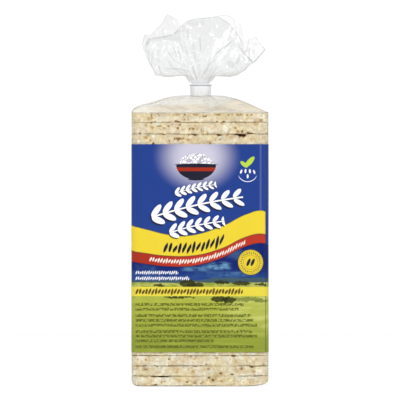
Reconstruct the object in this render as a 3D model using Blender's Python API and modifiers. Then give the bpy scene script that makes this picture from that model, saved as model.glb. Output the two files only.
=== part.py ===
"""A sealed clear bag that holds a stack of thin square puffed rice cakes, standing on its flat base.

The stack of cakes is one solid, with the cakes that show above and below the printed wrap. The bag on top
of it is another: the shoulder of film over the stack, the gathered neck and the fan of loose film above the
neck. The printed wrap and the band round the neck are solids of their own. Metres, +Z up, origin at the
middle of the base, front towards -Y.
"""

import math

import bmesh
import bpy
from mathutils import Vector, noise

# Stack of cakes
STACK_WIDTH = 0.0874
CORNER_RADIUS = 0.0045
STACK_HEIGHT = 0.1755
CAKE_COUNT = 25
BOTTOM_CAKE_HEIGHTS = (0.0067, 0.0066, 0.0067)
TOP_CAKE_HEIGHTS = (0.0075, 0.0077, 0.0062)
SEAM_DEPTH = 0.0011
SHOULDER_HEIGHT = 0.0011
SHOULDER_INSET = 0.0002
CRAG_HEIGHT = 0.0004
CRAG_SIZE = 0.0052
BASE_EDGE_INSET = 0.0024
BASE_EDGE_HEIGHT = 0.0013

# Printed wrap
WRAP_WIDTH = 0.0884
WRAP_BOTTOM = 0.0220
WRAP_TOP = 0.1555
WRAP_THICKNESS = 0.0006
FIT_GAP = 0.0003

# Neck, its band, and the shoulder of film between the stack and the band
NECK_BOTTOM = 0.1865
NECK_TOP = 0.1950
NECK_HALF_WIDTH = 0.0055
NECK_HALF_DEPTH = 0.0036
BAND_WALL = 0.0008
BAND_FLARE = 0.0005
RIM_HEIGHT = 0.0010
RIM_REACH = 0.0003
SHOULDER_STEPS = 6
LEFT_FULLNESS = 0.37
RIGHT_FULLNESS = 0.57
SHOULDER_PLEATS = 9
SHOULDER_PLEAT_HEIGHT = 0.0009

# Fan of loose film above the neck. Each edge is (angle from upright in degrees, reach from the neck)
FRONT_EDGE = (
    (-81, 0.0285), (-66, 0.0370), (-56, 0.0450), (-49, 0.0472), (-42, 0.0420), (-33, 0.0390),
    (-22, 0.0380), (-12, 0.0395), (-3, 0.0410), (7, 0.0430), (15, 0.0440), (23, 0.0415),
    (30, 0.0370), (37, 0.0335), (47, 0.0335), (58, 0.0350), (68, 0.0370), (75, 0.0310), (83, 0.0250),
)  # fmt: skip
BACK_EDGE = (
    (-81, 0.0285), (-68, 0.0385), (-57, 0.0450), (-49, 0.0460), (-38, 0.0460), (-30, 0.0480),
    (-25, 0.0495), (-19, 0.0470), (-13, 0.0420), (-5, 0.0415), (6, 0.0430), (15, 0.0450),
    (21, 0.0475), (27, 0.0476), (34, 0.0460), (42, 0.0415), (47, 0.0420), (53, 0.0465),
    (61, 0.0478), (66, 0.0425), (73, 0.0340), (83, 0.0250),
)  # fmt: skip
FAN_STEPS = 9
FAN_RISE = 0.0080
FAN_FLARE = 1.75
FAN_BELLY = 0.0125
FAN_MOUTH_HALF_DEPTH = 0.0085
FAN_PLEATS = 11
FAN_PLEAT_DEPTH = 0.0022
MOUTH_SINK = 0.0070

# Points round each section: half of them along the front, half along the back
FLAT_STEPS = 20
ARC_STEPS = 4
RING_POINTS = 4 * (FLAT_STEPS + ARC_STEPS)
HALF_RING = RING_POINTS // 2


def clear_scene():
    """Removes every object of the file that the script runs in."""
    for obj in list(bpy.data.objects):
        bpy.data.objects.remove(obj)


def make_material(name, colour, roughness):
    """Returns a Principled material of one colour."""
    material = bpy.data.materials.new(name)
    material.use_nodes = True
    shader = material.node_tree.nodes["Principled BSDF"]
    shader.inputs["Base Color"].default_value = (*colour, 1.0)
    shader.inputs["Roughness"].default_value = roughness
    shader.inputs["Metallic"].default_value = 0.0
    return material


def rounded_square(width, radius):
    """Returns the points of a rounded square, from the middle of its left side along the front."""
    half = width / 2
    flat = 2 * (half - radius)
    quarter = []
    for step in range(FLAT_STEPS // 2):
        quarter.append(Vector((-half, -flat * step / FLAT_STEPS)))
    for step in range(ARC_STEPS + 1):
        turn = math.pi / 2 * step / ARC_STEPS
        quarter.append(Vector((-half + radius * (1 - math.cos(turn)), -half + radius * (1 - math.sin(turn)))))
    for step in range(1, FLAT_STEPS // 2):
        quarter.append(Vector((-flat / 2 + flat * step / FLAT_STEPS, -half)))
    points = []
    for side in range(4):
        for x, y in quarter:
            for _ in range(side):
                x, y = -y, x
            points.append(Vector((x, y)))
    return points


def oval(half_width, half_depth):
    """Returns the points of an oval with as many points, from its left end along the front."""
    points = []
    for index in range(RING_POINTS):
        turn = 2 * math.pi * index / RING_POINTS
        points.append(Vector((-half_width * math.cos(turn), -half_depth * math.sin(turn))))
    return points


def cake_seams():
    """Returns the height of each face where two cakes meet, with the stack's own bottom and top."""
    shown = sum(BOTTOM_CAKE_HEIGHTS) + sum(TOP_CAKE_HEIGHTS)
    hidden_count = CAKE_COUNT - len(BOTTOM_CAKE_HEIGHTS) - len(TOP_CAKE_HEIGHTS)
    hidden = [(STACK_HEIGHT - shown) / hidden_count] * hidden_count
    seams = [0.0]
    for height in (*BOTTOM_CAKE_HEIGHTS, *hidden, *TOP_CAKE_HEIGHTS):
        seams.append(seams[-1] + height)
    return seams


def craggy_section(inset, height):
    """Returns one section of the stack, its edge pushed in and out by the puffed grains."""
    section = []
    for x, y in rounded_square(STACK_WIDTH - 2 * inset, CORNER_RADIUS):
        place = Vector((x, y, height))
        out = Vector((x, y, 0)).normalized()
        place += out * CRAG_HEIGHT * noise.noise(place / CRAG_SIZE)
        section.append(place)
    return section


def stack_sections():
    """Returns the sections of the stack from base to top, smooth and a little narrower behind the wrap."""
    seams = cake_seams()
    base = [Vector((*p, 0)) for p in rounded_square(STACK_WIDTH - 2 * BASE_EDGE_INSET, CORNER_RADIUS)]
    sections = [base, craggy_section(BASE_EDGE_INSET / 6, BASE_EDGE_HEIGHT)]
    under_wrap = WRAP_WIDTH - 2 * (WRAP_THICKNESS + FIT_GAP)
    for low, high in zip(seams[:-1], seams[1:], strict=True):
        if low >= WRAP_BOTTOM and high <= WRAP_TOP:
            continue
        cake = []
        if low > 0:
            cake.append((SEAM_DEPTH, low))
            cake.append((SHOULDER_INSET, low + SHOULDER_HEIGHT))
        cake.append((0.0, (low + high) / 2))
        cake.append((SHOULDER_INSET, high - SHOULDER_HEIGHT))
        for inset, height in cake:
            if not WRAP_BOTTOM - FIT_GAP < height < WRAP_TOP + FIT_GAP:
                sections.append(craggy_section(inset, height))
        if low < WRAP_BOTTOM <= high:
            for height in (WRAP_BOTTOM - FIT_GAP, WRAP_TOP + FIT_GAP):
                sections.append([Vector((*p, height)) for p in rounded_square(under_wrap, CORNER_RADIUS)])
    sections.append(craggy_section(SEAM_DEPTH, STACK_HEIGHT - FIT_GAP))
    return sections


def shoulder_sections():
    """Returns the sections of the film that closes from the stack's square top to the oval neck."""
    square = rounded_square(STACK_WIDTH, CORNER_RADIUS)
    neck = oval(NECK_HALF_WIDTH, NECK_HALF_DEPTH)
    rise = NECK_BOTTOM - STACK_HEIGHT
    sections = []
    for step in range(SHOULDER_STEPS + 1):
        inward = (step / SHOULDER_STEPS) ** 1.6
        section = []
        for index, (outer, inner) in enumerate(zip(square, neck, strict=True)):
            place = outer.lerp(inner, inward)
            side = (outer.x / STACK_WIDTH) + 0.5
            fullness = LEFT_FULLNESS + (RIGHT_FULLNESS - LEFT_FULLNESS) * side
            turn = 2 * math.pi * index / RING_POINTS
            pleat = math.sin(SHOULDER_PLEATS * turn + 1.7 * math.sin(2 * turn))
            height = STACK_HEIGHT + rise * inward**fullness
            height += SHOULDER_PLEAT_HEIGHT * pleat * inward * (1 - inward)
            section.append(Vector((place.x, place.y, height)))
        sections.append(section)
    return sections


def reach_at(edge, angle):
    """Returns how far the loose film reaches at an angle, between the points of its edge."""
    for (low_angle, low), (high_angle, high) in zip(edge[:-1], edge[1:], strict=True):
        if angle <= high_angle:
            return low + (high - low) * (angle - low_angle) / (high_angle - low_angle)
    return edge[-1][1]


def fan_point(index, rise_share):
    """Returns a point of the loose film, rise_share of the way from the neck to its free edge."""
    in_front = index <= HALF_RING
    across = index / HALF_RING if in_front else 2 - index / HALF_RING
    edge = FRONT_EDGE if in_front else BACK_EDGE
    side = -1 if in_front else 1
    angle = edge[0][0] + (edge[-1][0] - edge[0][0]) * across
    reach = reach_at(edge, angle)
    start = oval(NECK_HALF_WIDTH, NECK_HALF_DEPTH)[index]
    turn = math.radians(angle)
    end_x, end_z = reach * math.sin(turn), reach * math.cos(turn)
    v = rise_share
    x = (1 - v) ** 2 * start.x + 2 * v * (1 - v) * start.x * FAN_FLARE + v**2 * end_x
    z = 2 * v * (1 - v) * FAN_RISE + v**2 * end_z
    width = math.sqrt(max(0.0, 1 - (2 * across - 1) ** 2))
    belly = FAN_BELLY * math.sin(math.pi * v**0.8) * width
    mouth = FAN_MOUTH_HALF_DEPTH * v * width
    wave = math.asin(math.sin(math.pi * FAN_PLEATS * across + 1.3 * math.sin(9 * across) + side))
    pleat = FAN_PLEAT_DEPTH * wave * v**0.6 * (1 - 0.75 * v) * width
    depth = abs(start.y) * (1 - v) + belly + mouth + pleat
    return Vector((x, side * depth, NECK_TOP + z))


def fan_sections():
    """Returns the sections of the loose film from just above the band to its free edge."""
    sections = []
    for step in range(1, FAN_STEPS + 1):
        sections.append([fan_point(index, step / FAN_STEPS) for index in range(RING_POINTS)])
    return sections


def add_walls(mesh, sections):
    """Adds four-sided faces between each section and the next, and returns the sections' vertices."""
    rings = [[mesh.verts.new(place) for place in section] for section in sections]
    for lower, upper in zip(rings[:-1], rings[1:], strict=True):
        for index in range(len(lower)):
            after = (index + 1) % len(lower)
            mesh.faces.new((lower[index], lower[after], upper[after], upper[index]))
    return rings


def close_mouth(mesh, edge_ring):
    """Closes the fan's mouth with a valley between its front edge and its back edge."""
    neck = Vector((0, 0, NECK_TOP))
    left, right = edge_ring[0], edge_ring[HALF_RING]
    front = edge_ring[1:HALF_RING]
    back = list(reversed(edge_ring[HALF_RING + 1 :]))
    valley = []
    for near, far in zip(front, back, strict=True):
        middle = (near.co + far.co) / 2
        open_share = min(1.0, (far.co - near.co).length / FAN_MOUTH_HALF_DEPTH)
        valley.append(mesh.verts.new(middle + (neck - middle).normalized() * MOUTH_SINK * open_share))
    for near_row, far_row in ((front, valley), (valley, back)):
        for index in range(len(near_row) - 1):
            after = index + 1
            mesh.faces.new((near_row[index], near_row[after], far_row[after], far_row[index]))
        mesh.faces.new((left, near_row[0], far_row[0]))
        mesh.faces.new((near_row[-1], right, far_row[-1]))


def finish_object(name, mesh, material, collection):
    """Makes a named object from a bmesh, its faces turned outwards, in a collection."""
    bmesh.ops.recalc_face_normals(mesh, faces=mesh.faces)
    data = bpy.data.meshes.new(name)
    mesh.to_mesh(data)
    mesh.free()
    data.materials.append(material)
    data.shade_smooth()
    data.set_sharp_from_angle(angle=math.radians(35))
    obj = bpy.data.objects.new(name, data)
    collection.objects.link(obj)
    return obj


def build_cakes(collection):
    """Builds the stack of cakes as one closed solid, flat underneath and on top."""
    mesh = bmesh.new()
    rings = add_walls(mesh, stack_sections())
    mesh.faces.new(list(reversed(rings[0])))
    mesh.faces.new(rings[-1])
    return finish_object("rice_cakes", mesh, make_material("puffed_rice", (0.74, 0.62, 0.41), 0.85), collection)


def build_bag(collection):
    """Builds the bag above the stack: shoulder, neck and fan as one closed skin."""
    neck = oval(NECK_HALF_WIDTH, NECK_HALF_DEPTH)
    neck_top = [Vector((*place, NECK_TOP)) for place in neck]
    mesh = bmesh.new()
    rings = add_walls(mesh, [*shoulder_sections(), neck_top, *fan_sections()])
    mesh.faces.new(list(reversed(rings[0])))
    close_mouth(mesh, rings[-1])
    return finish_object("bag", mesh, make_material("clear_film", (0.90, 0.91, 0.92), 0.15), collection)


def build_wrap(collection):
    """Builds the printed wrap: the four walls of a box with rounded corners."""
    mesh = bmesh.new()
    bmesh.ops.create_cube(mesh, size=1.0)
    height = WRAP_TOP - WRAP_BOTTOM
    bmesh.ops.scale(mesh, vec=(WRAP_WIDTH, WRAP_WIDTH, height), verts=mesh.verts)
    upright = [edge for edge in mesh.edges if abs(edge.verts[0].co.z - edge.verts[1].co.z) > height / 2]
    bmesh.ops.bevel(
        mesh, geom=upright, offset=CORNER_RADIUS, offset_type="OFFSET", segments=ARC_STEPS, profile=0.5,
        affect="EDGES", clamp_overlap=True,
    )  # fmt: skip
    ends = [face for face in mesh.faces if abs(face.normal.z) > 0.9]
    bmesh.ops.delete(mesh, geom=ends, context="FACES_ONLY")
    bmesh.ops.translate(mesh, vec=(0, 0, (WRAP_TOP + WRAP_BOTTOM) / 2), verts=mesh.verts)
    obj = finish_object("printed_wrap", mesh, make_material("printed_film", (0.03, 0.06, 0.28), 0.3), collection)
    wall = obj.modifiers.new("wall", "SOLIDIFY")
    wall.thickness = WRAP_THICKNESS
    wall.offset = -1.0
    wall.use_even_offset = True
    return obj


def build_band(collection):
    """Builds the flat plastic band round the neck, with a raised rim along its upper edge."""
    inside = (NECK_HALF_WIDTH + FIT_GAP, NECK_HALF_DEPTH + FIT_GAP)
    rim_bottom = NECK_TOP - RIM_HEIGHT
    outline = (
        (BAND_WALL, NECK_BOTTOM + FIT_GAP),
        (BAND_WALL + BAND_FLARE, rim_bottom - RIM_REACH),
        (BAND_WALL + BAND_FLARE + RIM_REACH, rim_bottom),
        (BAND_WALL + BAND_FLARE + RIM_REACH, NECK_TOP - FIT_GAP),
        (0.0, NECK_TOP - FIT_GAP),
        (0.0, NECK_BOTTOM + FIT_GAP),
    )
    sections = []
    for out, height in (*outline, outline[0]):
        section = oval(inside[0] + out, inside[1] + out)
        sections.append([Vector((*place, height)) for place in section[::2]])
    mesh = bmesh.new()
    add_walls(mesh, sections)
    bmesh.ops.remove_doubles(mesh, verts=mesh.verts, dist=0.00001)
    return finish_object("neck_band", mesh, make_material("band_plastic", (0.86, 0.87, 0.89), 0.35), collection)


def main():
    """Builds the cakes, the bag over them, its printed wrap and the band round its neck."""
    clear_scene()
    collection = bpy.data.collections.new("bag_of_puffed_rice_cakes")
    bpy.context.scene.collection.children.link(collection)
    build_cakes(collection)
    build_bag(collection)
    build_wrap(collection)
    build_band(collection)


main()
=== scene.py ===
"""Dresses a sealed bag of thin square puffed rice cakes: the cakes, the clear film, the print and the band.

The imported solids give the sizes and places. The solid of the stack is replaced by 25 cakes and the film under
them, and the solid of the bag by clear film: a shoulder over the stack and a crumpled fan above the neck.
"""

import logging
import math
from collections.abc import Callable
from dataclasses import dataclass, field
from enum import Enum
from functools import cache

import bpy
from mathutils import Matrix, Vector, noise

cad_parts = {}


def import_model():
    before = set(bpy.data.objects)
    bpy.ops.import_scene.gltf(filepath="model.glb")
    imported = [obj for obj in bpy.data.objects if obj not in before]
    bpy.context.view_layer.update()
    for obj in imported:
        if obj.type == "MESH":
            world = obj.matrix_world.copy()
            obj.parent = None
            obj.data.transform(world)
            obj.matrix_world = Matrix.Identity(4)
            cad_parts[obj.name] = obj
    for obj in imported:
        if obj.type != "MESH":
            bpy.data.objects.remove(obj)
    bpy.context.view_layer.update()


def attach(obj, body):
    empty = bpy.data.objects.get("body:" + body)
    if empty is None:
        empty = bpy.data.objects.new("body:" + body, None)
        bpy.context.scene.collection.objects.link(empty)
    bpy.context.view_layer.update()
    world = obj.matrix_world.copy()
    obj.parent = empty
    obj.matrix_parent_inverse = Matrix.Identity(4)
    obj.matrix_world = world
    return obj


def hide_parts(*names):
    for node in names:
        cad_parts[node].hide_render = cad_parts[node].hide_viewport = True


MM = 0.001
BODY = "root"
MERGE_DISTANCE = 0.000002
NOISE_SEED = 25
log = logging.getLogger("rice_cake_bag")

Socket = bpy.types.NodeSocket
Place = Callable[[float, float], Vector]
Colour = tuple[float, float, float]
Pair = tuple[float, float]
Line = tuple[Pair, ...]
Rows = tuple[tuple[float, ...], ...]
MILKY: Colour = (0.86, 0.87, 0.90)


class Finish(Enum):
    """The record's material slots."""

    CAKE = "puffed_rice"
    FILM = "clear_film"
    PRINT = "printed_film"
    BAND = "band_plastic"


def smoothstep(low: float, high: float, value: float) -> float:
    """Returns 0 below low, 1 above high, and a smooth rise between them."""
    share = min(1.0, max(0.0, (value - low) / (high - low)))
    return share * share * (3 - 2 * share)


def lerp(low: float, high: float, share: float) -> float:
    """Returns the number that lies share of the way from low to high."""
    return low + (high - low) * share


def along(points: Line, value: float) -> float:
    """Returns the height of a line through points at a value.

    Args:
        points: (value, height) pairs in order of their value.
        value: Where to read the line. Past either end it keeps the end's height.

    Returns:
        The height there.
    """
    if value <= points[0][0]:
        return points[0][1]
    for (low, start), (high, end) in zip(points, points[1:]):
        if value <= high:
            return lerp(start, end, (value - low) / (high - low))
    return points[-1][1]


def rounded_square(share: float, half: float, radius: float) -> tuple[Vector, Vector]:
    """Returns a point of a rounded square and the way out there.

    Args:
        share: How far round from the middle of the back, anticlockwise from above, from 0 to 1.
        half: Half the square's width.
        radius: Radius of its corners.

    Returns:
        The point and the unit vector outwards, both level.
    """
    flat = half - radius
    arc = math.pi / 2 * radius
    side = 2 * flat + arc
    run = (share * 4) % 4
    quarter = min(int(run), 3)
    run = (run - quarter) * side
    if run <= flat:
        point, out = Vector((-run, half, 0)), Vector((0, 1, 0))
    elif run <= flat + arc:
        turn = (run - flat) / radius
        out = Vector((-math.sin(turn), math.cos(turn), 0))
        point = Vector((-flat, flat, 0)) + out * radius
    else:
        point, out = Vector((-half, flat - (run - flat - arc), 0)), Vector((-1, 0, 0))
    for _ in range(quarter):
        point, out = Vector((-point.y, point.x, 0)), Vector((-out.y, out.x, 0))
    return point, out


def deselect_all() -> None:
    """Leaves object mode with nothing selected."""
    if bpy.context.mode != "OBJECT":
        bpy.ops.object.mode_set(mode="OBJECT")
    bpy.ops.object.select_all(action="DESELECT")


def activate(obj: bpy.types.Object) -> None:
    """Makes an object the only selected one, and the active one."""
    deselect_all()
    obj.select_set(True)
    bpy.context.view_layer.objects.active = obj


def formed_grid(
    name: str, columns: int, rows: int, place: Place, values: dict[str, list[float]] | None = None
) -> bpy.types.Object:
    """Adds a grid and moves each of its points to its place on a surface.

    Args:
        name: The object's name.
        columns: Faces across, along the first share that place takes.
        rows: Faces up, along the second.
        place: Gives the point at two shares, each from 0 to 1.
        values: Lists that place fills with a number for each point, kept as attributes of these names.

    Returns:
        The object, its doubled points merged and its faces smooth.
    """
    deselect_all()
    bpy.ops.mesh.primitive_grid_add(x_subdivisions=columns, y_subdivisions=rows, size=2.0, calc_uvs=True)
    sheet = bpy.context.active_object
    sheet.name = sheet.data.name = name
    for vertex in sheet.data.vertices:
        vertex.co = place((vertex.co.x + 1) / 2, (vertex.co.y + 1) / 2)
    for label, numbers in (values or {}).items():
        paint(sheet, label, numbers)
    merge_doubles(sheet)
    sheet.data.shade_smooth()
    return sheet


def paint(obj: bpy.types.Object, label: str, numbers: list[float]) -> None:
    """Keeps a number for each point of a mesh, as an attribute that its material reads."""
    obj.data.attributes.new(label, "FLOAT", "POINT").data.foreach_set("value", numbers)


def merge_doubles(obj: bpy.types.Object) -> None:
    """Merges the points of a mesh that lie in one place, as at a seam or a pole."""
    activate(obj)
    bpy.ops.object.mode_set(mode="EDIT")
    bpy.ops.mesh.select_all(action="SELECT")
    bpy.ops.mesh.remove_doubles(threshold=MERGE_DISTANCE)
    bpy.ops.object.mode_set(mode="OBJECT")


def apply_modifiers(obj: bpy.types.Object) -> None:
    """Applies all the modifiers of an object, first to last."""
    activate(obj)
    for name in [modifier.name for modifier in obj.modifiers]:
        bpy.ops.object.modifier_apply(modifier=name)


def fit_out(obj: bpy.types.Object, finish: Finish, material: bpy.types.Material, *nodes: str) -> None:
    """Gives a piece its material, ties it to the body and says which solids it replaces."""
    obj.data.materials.clear()
    obj.data.materials.append(material)
    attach(obj, BODY)
    if nodes:
        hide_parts(*nodes)
    log.info("%s: %d faces", obj.name, len(obj.data.polygons))


@dataclass
class Wiring:
    """Adds nodes to a node tree and links them."""

    tree: bpy.types.NodeTree

    def node(self, kind: str, **settings: object) -> bpy.types.Node:
        """Adds a node of a kind and sets its properties."""
        made = self.tree.nodes.new(kind)
        for name, value in settings.items():
            setattr(made, name, value)
        return made

    def feed(self, socket: Socket, value: object) -> None:
        """Links a socket's value to an input, or sets a number or colour on it."""
        if isinstance(value, bpy.types.NodeSocket):
            self.tree.links.new(value, socket)
        elif isinstance(value, tuple) and len(value) == 3 and len(socket.default_value) == 4:
            socket.default_value = (*value, 1.0)
        else:
            socket.default_value = value

    def maths(self, operation: str, first: object, second: object = 0.0, third: object = 0.0) -> Socket:
        """Adds a Math node and returns its result."""
        made = self.node("ShaderNodeMath", operation=operation)
        for socket, value in zip(made.inputs, (first, second, third)):
            self.feed(socket, value)
        return made.outputs[0]

    def times(self, first: object, second: object) -> Socket:
        """Returns the product of two numbers."""
        return self.maths("MULTIPLY", first, second)

    def plus(self, first: object, second: object) -> Socket:
        """Returns the sum of two numbers."""
        return self.maths("ADD", first, second)

    def minus(self, first: object, second: object) -> Socket:
        """Returns the first number less the second."""
        return self.maths("SUBTRACT", first, second)

    def times_plus(self, first: object, second: object, third: object) -> Socket:
        """Returns the product of two numbers, with a third added."""
        return self.maths("MULTIPLY_ADD", first, second, third)

    def away(self, first: object, second: object) -> Socket:
        """Returns how far apart two numbers are."""
        return self.maths("ABSOLUTE", self.minus(first, second))

    def ramp(self, value: object, low: float, high: float, start: float = 0.0, end: float = 1.0) -> Socket:
        """Maps a number from low and high to start and end, smoothly and within them."""
        made = self.node("ShaderNodeMapRange", interpolation_type="SMOOTHSTEP")
        for name, number in (("From Min", low), ("From Max", high), ("To Min", start), ("To Max", end)):
            self.feed(made.inputs[name], number)
        self.feed(made.inputs["Value"], value)
        return made.outputs["Result"]

    def blend(self, share: object, under: object, over: object, mode: str = "MIX") -> Socket:
        """Lays one colour over another by a share."""
        made = self.node("ShaderNodeMix", data_type="RGBA", blend_type=mode)
        self.feed(made.inputs["Factor"], share)
        self.feed(made.inputs[6], under)
        self.feed(made.inputs[7], over)
        return made.outputs[2]

    def vectors(self, operation: str, first: Socket, second: object) -> Socket:
        """Adds a Vector Math node and returns its vector."""
        made = self.node("ShaderNodeVectorMath", operation=operation)
        self.feed(made.inputs[0], first)
        self.feed(made.inputs[1], second)
        return made.outputs[0]

    def scaled(self, vector: Socket, factors: tuple[float, float, float]) -> Socket:
        """Returns a vector with each of its numbers scaled."""
        return self.vectors("MULTIPLY", vector, factors)

    def axes(self, vector: Socket) -> bpy.types.NodeOutputs:
        """Returns the three numbers of a vector."""
        made = self.node("ShaderNodeSeparateXYZ")
        self.feed(made.inputs[0], vector)
        return made.outputs

    def flat(self, across: object, height: object) -> Socket:
        """Returns a vector of two numbers."""
        made = self.node("ShaderNodeCombineXYZ")
        self.feed(made.inputs[0], across)
        self.feed(made.inputs[1], height)
        return made.outputs[0]

    def chance(self, colour: Socket) -> Socket:
        """Returns the first number of a cell's colour, which is as good as a draw from 0 to 1."""
        made = self.node("ShaderNodeSeparateColor")
        self.feed(made.inputs[0], colour)
        return made.outputs[0]

    def attribute(self, name: str) -> Socket:
        """Returns the number that a piece's points hold under a name."""
        return self.node("ShaderNodeAttribute", attribute_name=name).outputs["Fac"]

    def grain(self, vector: Socket, scale: float, detail: float = 2.0, roughness: float = 0.5) -> Socket:
        """Returns cloudy noise from about 0 to 1."""
        made = self.node("ShaderNodeTexNoise")
        self.feed(made.inputs["Vector"], vector)
        for name, number in (("Scale", scale), ("Detail", detail), ("Roughness", roughness)):
            made.inputs[name].default_value = number
        return made.outputs["Fac"]

    def cells(
        self, vector: Socket, scale: float, feature: str = "F1", distance: str = "EUCLIDEAN"
    ) -> bpy.types.Node:
        """Returns a Voronoi node on a vector."""
        made = self.node("ShaderNodeTexVoronoi", feature=feature, distance=distance)
        self.feed(made.inputs["Vector"], vector)
        made.inputs["Scale"].default_value = scale
        return made

    def object_space(self) -> Socket:
        """Returns the Object coordinates."""
        return self.node("ShaderNodeTexCoord").outputs["Object"]

    def bump(self, height: Socket, distance: float, strength: float = 1.0) -> Socket:
        """Returns a normal bumped by a height of 0 to 1."""
        made = self.node("ShaderNodeBump")
        made.inputs["Strength"].default_value = strength
        made.inputs["Distance"].default_value = distance
        self.feed(made.inputs["Height"], height)
        return made.outputs["Normal"]

    def plastic(self, colour: object, roughness: float, shine: float, normal: Socket) -> bpy.types.Node:
        """Adds a Principled shader with a colour, a roughness, a specular level and a normal."""
        made = self.node("ShaderNodeBsdfPrincipled")
        self.feed(made.inputs["Base Color"], colour)
        made.inputs["Roughness"].default_value = roughness
        made.inputs["Specular IOR Level"].default_value = shine
        self.feed(made.inputs["Normal"], normal)
        return made

    def mixed(self, share: Socket, first: bpy.types.Node, second: bpy.types.Node) -> bpy.types.Node:
        """Mixes the second shader into the first by a share."""
        made = self.node("ShaderNodeMixShader")
        for socket, value in zip(made.inputs, (share, first.outputs[0], second.outputs[0])):
            self.feed(socket, value)
        return made

    def surface(self, shader: bpy.types.Node) -> None:
        """Links a shader to the tree's output."""
        output = next(node for node in self.tree.nodes if node.type in ("OUTPUT_MATERIAL", "OUTPUT_WORLD"))
        self.feed(output.inputs["Surface"], shader.outputs[0])


def new_material(name: str) -> tuple[bpy.types.Material, Wiring]:
    """Returns a material with only its output node, and the wiring of its tree."""
    material = bpy.data.materials.new(name)
    material.use_nodes = True
    for made in list(material.node_tree.nodes):
        if made.type != "OUTPUT_MATERIAL":
            material.node_tree.nodes.remove(made)
    return material, Wiring(material.node_tree)


@dataclass(frozen=True)
class PuffedRice:
    """Puffed rice that has set into a cake: cream patches, golden grains, brown specks, and painted shade in
    its hollows.
    """

    pink: Colour = (0.88, 0.756, 0.572)
    yellow: Colour = (0.924, 0.82, 0.55)
    white: Colour = (0.98, 0.94, 0.77)
    golden: Colour = (0.70, 0.48, 0.19)
    toasted: Colour = (0.30, 0.13, 0.025)
    painted_shade: Colour = (0.15, 0.07, 0.020)
    scorched: Colour = (0.13, 0.028, 0.010)
    roughness: float = 0.85
    shine: float = 0.15
    pore_depth: float = 0.9 * MM
    wobble_scale: float = 260.0
    wobble_reach: float = 2.2 * MM
    second_place: tuple[float, float, float] = (0.31, 0.17, 0.23)
    # Painted light: heights in metres over which the lowest cakes are painted paler, yellower and brighter.
    painted_light_below: Pair = (0.06, 0.03)

    def material(self) -> bpy.types.Material:
        """Returns the material, which reads two attributes of the pieces: their painted shade, and how scorched
        they are.
        """
        material, wire = new_material("puffed_rice")
        place = wire.object_space()
        wobble = wire.node("ShaderNodeTexNoise")
        wire.feed(wobble.inputs["Vector"], place)
        wobble.inputs["Scale"].default_value = self.wobble_scale
        moved = wire.vectors("ADD", place, wire.scaled(wobble.outputs["Color"], (self.wobble_reach,) * 3))
        other = wire.vectors("ADD", moved, self.second_place)
        # Painted light: lower down the cakes are painted yellower, paler and brighter, to make up for the high
        # lamps lighting them less.
        low = wire.ramp(wire.axes(place)[2], *self.painted_light_below)
        yellowish = wire.times_plus(low, 0.06, wire.grain(moved, 130.0, 4.0))
        colour = wire.blend(wire.ramp(yellowish, 0.36, 0.62), self.pink, self.yellow)
        pale = wire.ramp(wire.times_plus(low, 0.05, wire.grain(other, 150.0, 4.0)), 0.46, 0.66)
        colour = wire.blend(wire.times(pale, 0.9), colour, self.white)
        grains = wire.cells(moved, 420.0)
        shade = wire.ramp(wire.chance(grains.outputs["Color"]), 0.0, 1.0, 0.86, 1.03)
        colour = wire.blend(1.0, colour, wire.times_plus(low, 0.05, shade), "MULTIPLY")
        patchy = wire.ramp(wire.grain(place, 75.0, 2.0), 0.40, 0.60, 0.35, 1.0)
        husk = wire.grain(other, 230.0, 4.0, 0.6)
        golden = wire.times(wire.ramp(husk, 0.50, 0.67), patchy)
        colour = wire.blend(wire.times(golden, 0.52), colour, self.golden)
        brown = wire.times(wire.ramp(husk, 0.66, 0.74), patchy)
        colour = wire.blend(wire.times(brown, 0.75), colour, self.toasted)
        # Painted shade: golden towards the edges of the grain cells, in the valleys between grains.
        crevice_shade = wire.times(wire.ramp(grains.outputs["Distance"], 0.50, 0.85), 0.30)
        colour = wire.blend(crevice_shade, colour, self.golden)
        dots = wire.cells(moved, 330.0)
        chosen = wire.ramp(wire.chance(dots.outputs["Color"]), 0.74, 0.86)
        for reach, ink, strength in ((0.50, self.golden, 0.5), (0.26, self.toasted, 0.75)):
            fleck = wire.times(wire.ramp(dots.outputs["Distance"], reach * 0.4, reach, 1.0, 0.0), chosen)
            colour = wire.blend(wire.times(fleck, strength), colour, ink)
        # Painted shade: pits, valleys between grains, worn rims and the grooves between cakes are painted
        # golden and then dark brown; values below zero paint pale patches paler.
        shade_attribute = wire.attribute("painted_shade")
        colour = wire.blend(wire.ramp(shade_attribute, -0.15, -0.70, 0.0, 0.85), colour, self.white)
        colour = wire.blend(wire.ramp(shade_attribute, 0.15, 0.65, 0.0, 0.7), colour, self.golden)
        colour = wire.blend(wire.ramp(shade_attribute, 0.60, 1.0), colour, self.painted_shade)
        colour = wire.blend(wire.attribute("scorch"), colour, self.scorched)
        pores = wire.times_plus(grains.outputs["Distance"], -0.8, wire.grain(place, 1300.0, 4.0, 0.65))
        wire.surface(wire.plastic(colour, self.roughness, self.shine, wire.bump(pores, self.pore_depth)))
        return material


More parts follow.
